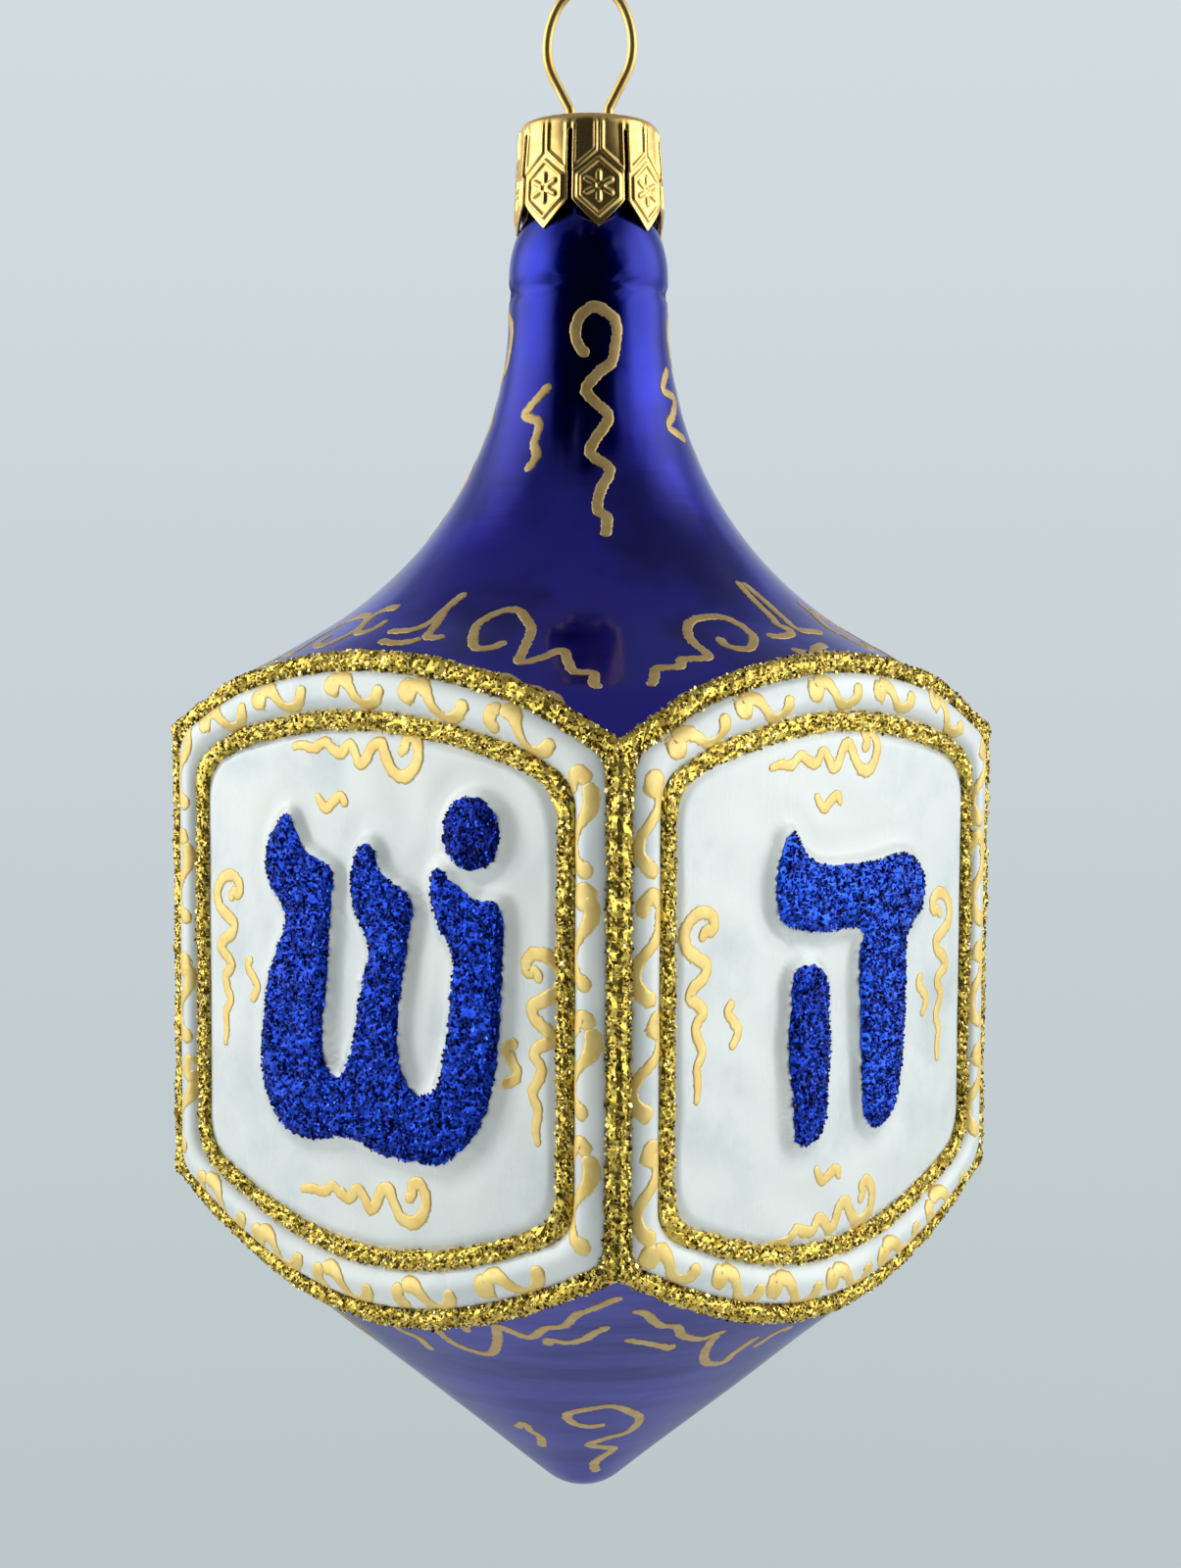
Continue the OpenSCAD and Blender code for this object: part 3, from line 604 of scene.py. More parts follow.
def letterOutlines(name):
    tables = [np.array(table) / 1000 for table in letterTables[name]]
    if name == "shin":
        turn = np.linspace(0, 2 * math.pi, shinDot["points"], endpoint=False)
        tables.append(arcPoints(shinDot["across"], shinDot["up"], shinDot["radius"], turn))
    middle = np.array([letter["right"], letter["up"]])
    return [smoothLine(table * letter["height"] + middle, letter["spread"], closed=True) for table in tables]


def outlineDistance(points, outline):
    # distance to a closed outline, negative inside it
    near = np.full(len(points), np.inf)
    inside = np.zeros(len(points), bool)
    ends = np.roll(outline, -1, axis=0)
    for a, b in zip(outline, ends):
        along = b - a
        t = np.clip(((points - a) @ along) / max(along @ along, leastDivisor), 0, 1)
        near = np.minimum(near, np.linalg.norm(points - a - t[:, None] * along, axis=1))
        crosses = (a[1] > points[:, 1]) != (b[1] > points[:, 1])
        rise = along[1] if abs(along[1]) > leastDivisor else leastDivisor
        cut = a[0] + (points[:, 1] - a[1]) * along[0] / rise
        inside ^= crosses & (points[:, 0] < cut)
    return np.where(inside, -near, near)


# white enamel: rim, groove and puffed panel of each side
whiteFace = {"lineWidth": 0.9, "lineGap": 0.05, "grooveHeight": 0.25, "panelHeight": 0.6, "rimWidth": 2.7,
             "rimHeight": 0.95, "rimMore": 0.45, "corner": 2.4, "cornerMore": 1.2, "cornerRoom": 1.2,
             "ringWidth": 1.5, "lump": 0.07, "rimLump": 0.35, "lumpWidth": 7.0, "lumpApart": 9.0, "seed": 20,
             "least": 0.06, "back": 0.03}
# the enamel lies over relief: a soft mound under each letter and a shallow trough round it
mound = {"relief": 0.62, "slope": (-0.1, 1.10), "trough": -0.05, "troughAt": 1.9, "troughWide": 0.8}
rimIn = whiteFace["lineWidth"] + whiteFace["lineGap"]
grooveIn = rimIn + whiteFace["rimWidth"]
panelIn = grooveIn + whiteFace["ringWidth"]
innerIn = half - (whiteFace["corner"] + whiteFace["cornerMore"]) * whiteFace["cornerRoom"]
# section of the rim, as shares of its width and height
rimShape = [[0, 0.10], [0.04, 0.40], [0.11, 0.64], [0.2, 0.81], [0.32, 0.93], [0.45, 0.99], [0.56, 1.0],
            [0.68, 0.95], [0.79, 0.84], [0.88, 0.66], [0.95, 0.45], [1.0, 0.27]]
# rows across the groove, up the edge of the panel, over its flat and in to its middle
faceRows = {"groove": (0.25, 0.5, 0.75, 1.0), "rise": (0.12, 0.25, 0.4, 0.6, 0.85, 1.15),
            "riseOver": (-0.1, 0.8), "flatFrom": 1.5, "flat": 42,
            "middle": (0.88, 0.76, 0.64, 0.52, 0.40, 0.28, 0.16, 0.06)}
lineSteps = {"corner": 8, "arc": 84, "side": 76}


def rimShare(inset):
    return min(max((inset - rimIn) / whiteFace["rimWidth"], 0), 1)


def cornerPoints(inset, side):
    r = whiteFace["corner"] + whiteFace["cornerMore"] * rimShare(inset)
    u = half - inset - r
    lean = math.atan(side * (edgeZ(u, side) - edgeZ(u + nudge, side)) / nudge)
    end = u + r * math.sin(lean)
    down = inset + whiteFace["rimMore"] * rimShare(inset) + r * math.cos(lean)
    v = edgeZ(end, side) - side * down - midZ
    turn = np.linspace(0, math.pi / 2 - lean, lineSteps["corner"] + 1)
    return np.stack([u + r * np.cos(turn), v + side * r * np.sin(turn)], -1)


def faceLine(inset):
    # closed line round a side at one distance in from its edges
    mirror = np.array([-1, 1])
    top, low = cornerPoints(inset, 1), cornerPoints(inset, -1)
    arcs = []
    down = inset + whiteFace["rimMore"] * rimShare(inset)
    for corner, side in ((top, 1), (low, -1)):
        u = corner[-1][0] * (1 - 2 * np.arange(1, lineSteps["arc"]) / lineSteps["arc"])
        arcs.append(np.stack([u, edgeZ(u, side) - side * down - midZ], -1))
    t = (np.arange(1, lineSteps["side"]) / lineSteps["side"])[:, None]
    left = (top[0] * (1 - t) + low[0] * t) * mirror
    right = low[0] * (1 - t) + top[0] * t
    return np.concatenate([top, arcs[0], (top * mirror)[::-1], left, low * mirror, arcs[1][::-1], low[::-1],
                           right])


def enamelRows():
    # place of each row in from the edges, and its height over the glass
    groove, panel = whiteFace["grooveHeight"], whiteFace["panelHeight"]
    table = [(rimIn + whiteFace["rimWidth"] * s, whiteFace["rimHeight"] * h) for s, h in rimShape]
    table += [(grooveIn + whiteFace["ringWidth"] * share, groove) for share in faceRows["groove"]]
    for inset in faceRows["rise"]:
        risen = float(smoothStep(inset, *faceRows["riseOver"]))
        table.append((panelIn + inset, groove + (panel - groove) * risen))
    flat = np.linspace(panelIn + faceRows["flatFrom"], innerIn, faceRows["flat"])
    return table + [(inset, panel) for inset in flat]


def addEnamel(k):
    name = faceNames[k]
    insets, heights = zip(*enamelRows())
    rows = [faceLine(inset) for inset in insets]
    rows += [rows[-1] * share for share in faceRows["middle"]]
    cols = len(rows[0])
    flat = np.concatenate(rows)
    height = np.repeat(heights + (whiteFace["panelHeight"],) * len(faceRows["middle"]), cols)
    row = np.repeat(np.arange(len(rows)), cols)
    onPanel = (height >= whiteFace["panelHeight"] - tiny) & (row >= len(rimShape) + len(faceRows["groove"]))
    away = np.min([outlineDistance(flat, outline) for outline in letterOutlines(name)], axis=0)
    hump = mound["relief"] * (1 - smoothStep(away, *mound["slope"]))
    trough = mound["trough"] * np.exp(-((away - mound["troughAt"]) / mound["troughWide"]) ** 2)
    # every side takes another stretch of the unevenness, and its two outermost rows stay even
    uneven = lumps(np.column_stack([flat, np.full(len(flat), whiteFace["lumpApart"] * k)]),
                   whiteFace["lumpWidth"], whiteFace["seed"] + k)
    height = height + (hump + trough) * onPanel + whiteFace["lump"] * uneven \
        * np.where(onPanel, 1.0, whiteFace["rimLump"]) * (row > 1)
    height = np.maximum(height, whiteFace["least"])
    back = [onFace(line, whiteFace["back"]) for line in (rows[-1], rows[len(rows) // 2], rows[0])]
    middles = [onFace(np.zeros((1, 2)), out) for out in (whiteFace["back"], height[-1])]
    verts = np.concatenate([*back, onFace(flat, height), *middles])
    total = len(rows) + len(back)
    faces = gridFaces(total, cols) + fanEnds(total, cols, len(verts) - 2, len(verts) - 1)
    addPiece("enamel_" + name + "_paint", turned(verts, k), faces, "enamel", ["enamel_" + name])
    return surfaceTree(verts, faces)


enamelTrees = [addEnamel(k) for k in range(4)]
print("enamel painted")


# glitter flakes: size, spread of width and length, depth, and where their corners lie across and along
chip = {"size": 0.31, "wide": (0.6, 1.3), "long": (0.6, 1.0), "depth": 0.4,
        "corners": ((1, 0.4), (-0.3, 1), (-1, -0.4), (0.3, -1))}


def flakeSet(spots, normals, tip, draw, size=chip["size"]):
    # small four-cornered chips, each tipped its own way
    n = len(spots)
    lean = unit(normals + draw.normal(scale=tip, size=(n, 3)))
    first = unit(np.cross(lean, draw.normal(size=(n, 3))))
    second = np.cross(lean, first)
    wide = size * draw.uniform(*chip["wide"], n)[:, None] / 2
    long = wide * draw.uniform(*chip["long"], n)[:, None]
    ring = [spots + first * wide * a + second * long * b for a, b in chip["corners"]]
    verts = np.stack(ring + [spots - lean * size * chip["depth"]], 1).reshape(-1, 3)
    m = len(ring)
    start = np.arange(n)[:, None] * (m + 1)
    faces = (start + np.arange(m)).tolist()
    for j in range(m):
        faces += (start + np.array([(j + 1) % m, j, m])).tolist()
    return verts, faces


# pads of the letters: "rim" is how far their edge stands over the mound, "top" how far they rise at most
pad = {"rim": 0.05, "top": 1.52, "round": 0.4, "foot": 0.9, "limit": 1.79, "grain": 0.42, "inset": 0.25,
       "edgeJitter": 0.07, "grainJitter": 0.14, "topJitter": 0.05, "calm": 0.1, "flakesPerMm": 19,
       "margin": 0.3, "past": 0.10, "loose": 0.10, "tip": 0.42, "seed": 100}


def padHeight(inside):
    rim = whiteFace["panelHeight"] + mound["relief"] + pad["rim"]
    return rim + (pad["top"] - rim) * (1 - np.exp(-np.maximum(inside, 0) / pad["round"]))


def padSheet(outline, draw):
    edge = outline + draw.normal(scale=pad["edgeJitter"], size=outline.shape)
    low, high = outline.min(0), outline.max(0)
    gx, gy = np.meshgrid(np.arange(low[0], high[0], pad["grain"]), np.arange(low[1], high[1], pad["grain"]))
    inner = np.column_stack([gx.ravel(), gy.ravel()]) + swing(draw, pad["grainJitter"], (gx.size, 2))
    flat = np.concatenate([edge, inner[outlineDistance(inner, outline) < -pad["inset"]]])
    result = geometry.delaunay_2d_cdt([Vector(p) for p in flat], [], [list(range(len(edge)))], 1, tiny)
    flat = np.array([tuple(p) for p in result[0]])
    inside = -outlineDistance(flat, outline)
    top = padHeight(inside) + draw.normal(scale=pad["topJitter"], size=len(flat)) * (inside > pad["calm"])
    return sheetPiece(onFace(flat, top), onFace(flat, pad["foot"]), [list(face) for face in result[2]])


def padFlakes(outline, draw):
    # flakes over the pad and a few just past its edge
    low, high = outline.min(0), outline.max(0)
    box = np.prod(high - low + 2 * pad["margin"])
    spots = draw.uniform(low - pad["margin"], high + pad["margin"], (int(box * pad["flakesPerMm"]), 2))
    away = outlineDistance(spots, outline)
    spots, away = spots[away < pad["past"]], away[away < pad["past"]]
    place = onFace(spots, padHeight(-away) + draw.uniform(0.0, pad["loose"], len(spots)))
    return flakeSet(place, faceWay(spots[:, 0]), pad["tip"], draw)


def addLetter(k):
    name = faceNames[k]
    draw = np.random.default_rng(pad["seed"] + k)
    parts = [make(outline, draw) for outline in letterOutlines(name) for make in (padSheet, padFlakes)]
    verts, faces = joined(parts)
    verts[:, 1] = np.maximum(verts[:, 1], -middleOut - pad["limit"])
    addPiece("letter_" + name + "_glitter", turned(verts, k), faces, "blueGlitter", ["letter_" + name],
             smooth=False)


for k in range(4):
    addLetter(k)
print("letters sprinkled")


# gold glitter lines; "underside": columns of a section that close it a little under the surface
bead = {"step": 0.36, "height": 0.42, "lift": 0.06, "ringHeight": 0.50, "ringMore": 1.02, "ringLength": 152,
        "jitter": 0.055, "fill": 0.82, "lump": 0.22, "lumpWidth": 5.0, "underside": [6, 3, 1], "sink": 0.05,
        "flakesPerMm": 17, "spread": 1.15, "past": 1.06, "last": 1.001, "loose": (-0.02, 0.08), "tip": 0.55,
        "ragged": 0.06, "overrun": 0.3}
beadSeeds = {"edge": 40, "corner": 50, "ragged": 60, "ring": 70, "spill": 80}
# section of a line: places across it as shares of half its width, and its height there
sectionShares = np.array([-1.0, -0.82, -0.55, -0.2, 0.2, 0.55, 0.82, 1.0])
sectionRise = (1 - np.abs(sectionShares) ** 3) ** 0.6
# shares of the way round a side at which the parts of its line end
ringShares = [0, 0.02, 0.25, 0.27, 0.5, 0.52, 0.75, 0.77, 1.0]


def addBead(name, foot, normal, height, nodes, seed, closed=True, more=()):
    # foot and normal: one row per step along the line, one column per share of its section
    draw = np.random.default_rng(seed)
    rows, cols = foot.shape[:2]
    uneven = bead["fill"] + bead["lump"] * lumps(foot[:, 0], bead["lumpWidth"], seed)[:, None]
    top = foot + normal * (bead["lift"] + height * sectionRise * uneven)[..., None]
    top += draw.normal(scale=bead["jitter"], size=top.shape)
    under = foot[:, bead["underside"]] - normal[:, bead["underside"]] * bead["sink"]
    ring = np.concatenate([top, under], 1)
    width = ring.shape[1]
    faces = (np.array(gridFaces(rows + closed, width)) % (rows * width)).tolist()
    if not closed:
        faces += flatEnds(rows, width)
    # flakes, each between two steps and two columns
    span = np.linalg.norm(foot[:, -1] - foot[:, 0], axis=1).mean() * bead["spread"]
    count = int(rows * bead["step"] * span * bead["flakesPerMm"])
    i = draw.integers(0, rows if closed else rows - 1, count)
    share = swing(draw, bead["past"], count)
    at = np.clip(np.interp(share, sectionShares, np.arange(cols)), 0, cols - bead["last"])
    j = at.astype(int)
    across = (at - j)[:, None]
    along = draw.uniform(0, 1, count)[:, None]

    def between(table):
        here, there = (table[n, j] * (1 - across) + table[n, j + 1] * across for n in (i, (i + 1) % rows))
        return here * (1 - along) + there * along

    way = between(normal)
    spots = between(top) + way * draw.uniform(*bead["loose"], count)[:, None]
    flakes = flakeSet(spots, unit(way), bead["tip"], draw)
    verts, faces = joined([(ring.reshape(-1, 3), faces), flakes, *more])
    addPiece(name, verts, faces, "goldGlitter", nodes, smooth=False)


def addEdgeLine(side):
    # the line over or under all four sides, folded over the edge
    w = whiteFace["lineWidth"]
    u = np.arange(-half, half, bead["step"])
    r = edgeDist(u)
    plan = np.column_stack([u, -faceOut(u)]) / r[:, None]
    lean = math.radians(glass["flare"] if side > 0 else 90 - glass["cone"])
    up = np.column_stack([plan * math.sin(lean), np.full(len(u), side * math.cos(lean))])
    out = np.column_stack([plan, 0 * u])
    feet, normals = [], []
    for s in sectionShares:
        near = r - max(s, 0) * w * math.cos(lean)
        feet.append(ringAt(plan, near, slopeZ(near, side) + min(s, 0) * w * side))
        normals.append(unit(out * (1 - s) / 2 + up * (1 + s) / 2))
    foot, normal = (np.stack(rows, 1)[:, ::side] for rows in (feet, normals))
    foot, normal = (np.concatenate([turned(rows, k) for k in range(4)]) for rows in (foot, normal))
    word = "upper_line" if side > 0 else "lower_line"
    addBead(word + "_glitter", foot, normal, bead["height"], [word], beadSeeds["edge"] + side)


# loose flakes: thick in the nooks at the rounded corners of a rim, thinner along its edges
spill = {"nook": (3.6, 0.5), "nookDown": (0.5, 3.4), "nookFlakes": 900, "end": 1, "edgeDown": (-0.3, 0.03),
         "edgeFlakes": 220, "sideOut": (-0.03, 0.3), "sideFlakes": 200, "inside": -0.12,
         "height": (0.05, 0.40), "size": 1.25, "tip": 0.35}


def cornerSpill(near, seed):
    # near: 1 for the side beyond the corner, 0 for the one before it
    draw = np.random.default_rng(seed + near)
    outline = faceLine(rimIn)
    parts = []
    for side in (1, -1):
        nooks, edges, uprights = spill["nookFlakes"], spill["edgeFlakes"], spill["sideFlakes"]
        nook = draw.uniform(half - spill["nook"][0], half - spill["nook"][1], nooks)
        u = np.concatenate([nook, draw.uniform(0, half - spill["end"], edges)])
        down = draw.uniform(*spill["nookDown"], nooks)
        down = np.concatenate([down, rimIn + draw.uniform(*spill["edgeDown"], edges)])
        upright = np.column_stack([half - rimIn + draw.uniform(*spill["sideOut"], uprights),
                                   side * draw.uniform(0, topZ - midZ, uprights)])
        flat = np.concatenate([np.column_stack([u, edgeZ(u, side) - midZ - side * down]), upright])
        flat = flat[outlineDistance(flat, outline) > spill["inside"]]
        place = onFace(flat, draw.uniform(*spill["height"], len(flat)))
        place[:, 0] *= -1 if near else 1
        normals = np.tile([0.0, -1.0, 0.0], (len(flat), 1))
        parts.append(flakeSet(place, normals, spill["tip"], draw, chip["size"] * spill["size"]))
    return parts


def addCornerLines():
    v = np.arange(lowZ - bead["overrun"], topZ + bead["overrun"], bead["step"])
    feet, normals = [], []
    for s in sectionShares:
        a = half - abs(s) * whiteFace["lineWidth"]
        b = float(faceOut(a))
        spot = (a, -b) if s < 0 else (b, -a)
        turn = math.radians(-90 + 90 * (s + 1) / 2)
        feet.append(np.column_stack([np.full(len(v), spot[0]), np.full(len(v), spot[1]), v]))
        normals.append(np.tile([math.cos(turn), math.sin(turn), 0], (len(v), 1)))
    foot, normal = np.stack(feet, 1), np.stack(normals, 1)
    for k in range(4):
        loose = [(turned(verts, k + near), faces) for near in (0, 1)
                 for verts, faces in cornerSpill(near, beadSeeds["spill"] + 2 * k)]
        addBead("corner_line_%d_glitter" % (k + 1), turned(foot, k)[::-1], turned(normal, k)[::-1],
                bead["height"], ["corner_lines"], beadSeeds["corner"] + k, closed=False, more=loose)


def evenRing(line, count):
    # spaces a line round a side so that its corners keep step with those of its neighbours
    parts = np.cumsum([0] + [lineSteps[word] for word in ("corner", "arc", "corner", "side") * 2])
    shut = np.concatenate([line, line[:1]])
    run = runAlong(shut)
    at = np.interp(np.linspace(0, 1, count, endpoint=False), ringShares, parts / parts[-1]) * (len(run) - 1)
    at = np.interp(at, np.arange(len(run)), run)
    return np.column_stack([np.interp(at, run, shut[:, c]) for c in (0, 1)])


def addRingLine(k):
    name = faceNames[k]
    draw = np.random.default_rng(beadSeeds["ragged"] + k)
    middle, reach = (grooveIn + panelIn) / 2, whiteFace["ringWidth"] / 2
    count = int(bead["ringLength"] / bead["step"])
    lines = [faceLine(middle + s * reach * bead["ringMore"]) for s in sectionShares]
    flat = np.stack([evenRing(line, count) for line in lines], 1)
    atEdge = np.abs(sectionShares) == 1
    flat += draw.normal(scale=bead["ragged"], size=flat.shape) * atEdge[None, :, None]
    foot, normal = onFace(flat, whiteFace["grooveHeight"]), faceWay(flat[..., 0])
    addBead("ring_" + name + "_glitter", turned(foot, k), turned(normal, k), bead["ringHeight"],
            ["ring_line_" + name], beadSeeds["ring"] + k)


addEdgeLine(1)
addEdgeLine(-1)
addCornerLines()
for k in range(4):
    addRingLine(k)
print("glitter lines laid")


# strokes of gold paint
stroke = {"step": 0.2, "lift": 0.02, "rise": 0.03, "ragged": 0.04, "depth": 0.16, "narrow": 0.08,
          "blunt": 0.06, "over": 1.5, "least": 0.25, "fewest": 4, "evened": 2, "away": 40.0, "seed": 200}
strokeShares = np.array([-1.0, -0.62, 0.0, 0.62, 1.0])


def castAll(tree, starts, ways):
    # where the rays meet the surface, the normal there turned to meet them, and which rays hit
    hits = [tree.ray_cast(Vector(start), Vector(way)) for start, way in zip(starts, ways)]
    spots = np.array([tuple(hit[0]) if hit[0] else (0, 0, 0) for hit in hits])
    normals = np.array([tuple(hit[1]) if hit[0] else (0, 0, 1) for hit in hits])
    normals[np.einsum("ij,ij->i", normals, np.asarray(ways)) > 0] *= -1
    return spots, normals, np.array([hit[0] is not None for hit in hits])


def ribbon(tree, starts, ways, widths, draw):
    # a thin raised stroke laid on a surface, closed underneath
    spots, normals, good = castAll(tree, starts, ways)
    spots, normals, widths = spots[good], normals[good], np.asarray(widths)[good]
    if len(spots) < stroke["fewest"]:
        return []
    for _ in range(stroke["evened"]):
        normals[1:-1] = unit(normals[:-2] + 2 * normals[1:-1] + normals[2:])
    side = unit(np.cross(unit(np.gradient(spots, axis=0)), normals))
    run = runAlong(spots)
    near = np.minimum(run, run[-1] - run) / (widths / 2)
    reach = np.sqrt(np.clip(1 - (1 - np.minimum(near, 1)) ** 2, stroke["blunt"], 1))
    left, right = (widths * reach / 2 + draw.normal(scale=stroke["ragged"], size=len(run)) for _ in range(2))
    rows = []
    for s in strokeShares:
        place = spots + side * (s * np.maximum(left if s < 0 else right, stroke["narrow"]))[:, None]
        foot, _, ok = castAll(tree, place + normals * stroke["over"], -normals)
        high = stroke["lift"] + stroke["rise"] * (1 - s * s) * reach
        rows.append(np.where(ok[:, None], foot, place) + normals * high[:, None])
    ring = np.stack(rows + [row - normals * stroke["depth"] for row in (rows[-1], rows[0])], 1)
    n, m = ring.shape[:2]
    return [(ring.reshape(-1, 3), gridFaces(n, m) + flatEnds(n, m))]


# strokes are rows of place along, place across and width; one S of the rims is a sweep with a dot or a hook
rimSweep = [[-2.5, 0.45, 1.3], [-1.7, 0.75, 1.4], [-0.95, 0.5, 1.25], [-0.35, -0.2, 0.95], [0.3, -0.9, 0.9],
            [1.1, -1.2, 0.95], [1.9, -1.0, 1.05], [2.45, -0.4, 1.3], [2.5, 0.45, 1.4]]
rimDot = [[-3.2, -0.5, 1.9], [-2.75, -0.05, 2.3], [-2.2, 0.25, 2.2], [-1.7, 0.5, 1.6]]
rimHook = [[-1.9, -0.85, 0.9], [-2.5, -0.9, 1.15], [-3.0, -0.45, 1.3], [-3.0, 0.15, 1.35], [-2.4, 0.55, 1.4]]
# a curl with a wavy tail on the panels, tail to the right
panelCurl = [[0.2, -0.1, 0.9], [-0.55, -0.6, 1.0], [-0.5, -1.35, 1.05], [-1.4, -1.45, 1.1],
             [-1.95, -0.5, 1.1], [-1.7, 0.7, 1.1], [-0.7, 1.55, 1.15], [0.6, 1.35, 1.15],
             [1.4, 0.3, 1.15], [2.0, -0.75, 1.15], [2.9, -0.5, 1.1], [3.5, 0.5, 1.1], [4.3, 1.0, 1.05],
             [4.9, 0.1, 1.05], [5.6, -0.45, 1.0], [6.5, 0.35, 1.0], [7.5, 0.1, 1.0], [8.5, -0.4, 0.95],
             [9.6, 0.2, 0.9], [11.0, 0.05, 0.8], [12.4, 0.25, 0.65]]
smallCurl = [[-1.8, 0.2, 0.8], [-1.1, -0.5, 0.95], [-0.3, 0.0, 0.95], [0.5, 0.65, 0.95], [1.3, 0.2, 0.9],
             [1.8, -0.4, 0.7]]
# where they sit: along each rim of a side, or u, v, direction of the tail in degrees, 1 or -1 for its curl
rimPlaces = {"shin": {"top": [-16.8, -9.2, 0.0, 8.5, 17.0], "right": [13.7, 5.2, -4.3, -14.0],
                      "left": [16.0, 6.2, -4.0, -13.2], "low": [-17.3, -9.6, -1.4, 7.2, 16.0]},
             "he": {"top": [-17.8, -10.3, -1.5, 7.3, 16.0], "right": [14.2, 6.0, -3.2, -12.4],
                    "left": [13.3, 4.3, -4.4, -13.6], "low": [-20.0, -12.9, -5.8, 1.6, 9.2, 17.2]}}
curlPlaces = {"shin": [(4.4, 17.9, 180, 1), (-16.4, 5.2, -90, -1), (18.4, 1.9, -92, 1), (5.2, -16.6, 184, 1)],
              "he": [(2.9, 18.0, 181, 1), (-17.2, 4.8, -91, -1), (15.6, 3.6, -90, 1), (3.0, -18.6, 184, 1)]}
smallPlaces = {"shin": [(-3.3, 14.0, 170), (-13.3, -1.2, -80), (15.6, -4.6, -95)],
               "he": [(-1.9, 14.3, 172), (-13.5, -2.0, -85), (12.4, -2.7, -80), (-1.5, -15.4, 170)]}
# by how much they vary, how far in on a rim they lie, and how far they are stretched there
vary = {"place": 0.25, "size": (0.92, 1.08), "rimTurn": 7, "curlTurn": 3, "smallTurn": 8, "dots": 0.6,
        "shift": 1.5}
onRim = {"share": 0.52, "archStretch": 1.05, "uprightStretch": 1.3, "probe": 0.5}


def placed(points, u, v, turn, flip=1):
    pts = np.array(points, float)
    x, y = pts[:, 0].copy(), pts[:, 1] * flip
    c, s = math.cos(math.radians(turn)), math.sin(math.radians(turn))
    pts[:, 0], pts[:, 1] = u + x * c - y * s, v + x * s + y * c
    return pts


def rimSpot(word, place):
    # u, v, direction and stretch of a stroke at this place on a rim
    inset = rimIn + whiteFace["rimWidth"] * onRim["share"]
    if word in ("right", "left"):
        return half - inset if word == "right" else inset - half, place, -90, onRim["uprightStretch"]
    side = 1 if word == "top" else -1
    v, ahead = (float(edgeZ(u, side)) - side * inset - midZ for u in (place, place + onRim["probe"]))
    return place, v, math.degrees(math.atan2(ahead - v, onRim["probe"])), onRim["archStretch"]


def faceStrokes(layout, draw):
    strokes = []
    for word, spots in rimPlaces[layout].items():
        for spot in spots:
            u, v, turn, stretch = rimSpot(word, spot + swing(draw, vary["place"]))
            size = draw.uniform(*vary["size"])
            turn += swing(draw, vary["rimTurn"])
            for shape in (rimSweep, rimDot if draw.random() < vary["dots"] else rimHook):
                strokes.append(placed(np.array(shape) * [size * stretch, size, 1], u, v, turn))
    for u, v, turn, flip in curlPlaces[layout]:
        strokes.append(placed(panelCurl, u, v, turn + swing(draw, vary["curlTurn"]), flip))
    for u, v, turn in smallPlaces[layout]:
        strokes.append(placed(smallCurl, u, v, turn + swing(draw, vary["smallTurn"])))
    return strokes


def addFacePaint(k):
    draw = np.random.default_rng(stroke["seed"] + k)
    parts = []
    for points in faceStrokes(faceNames[k % 2], draw):
        line = smoothLine(points, stroke["step"])
        starts = np.column_stack([line[:, 0], np.full(len(line), -stroke["away"]), line[:, 1] + midZ])
        ways = np.tile([0.0, 1.0, 0.0], (len(line), 1))
        parts += ribbon(enamelTrees[k], starts, ways, np.maximum(line[:, 2], stroke["least"]), draw)
    verts, faces = joined(parts)
    addPiece("paint_" + faceNames[k], turned(verts, k), faces, "facePaint")


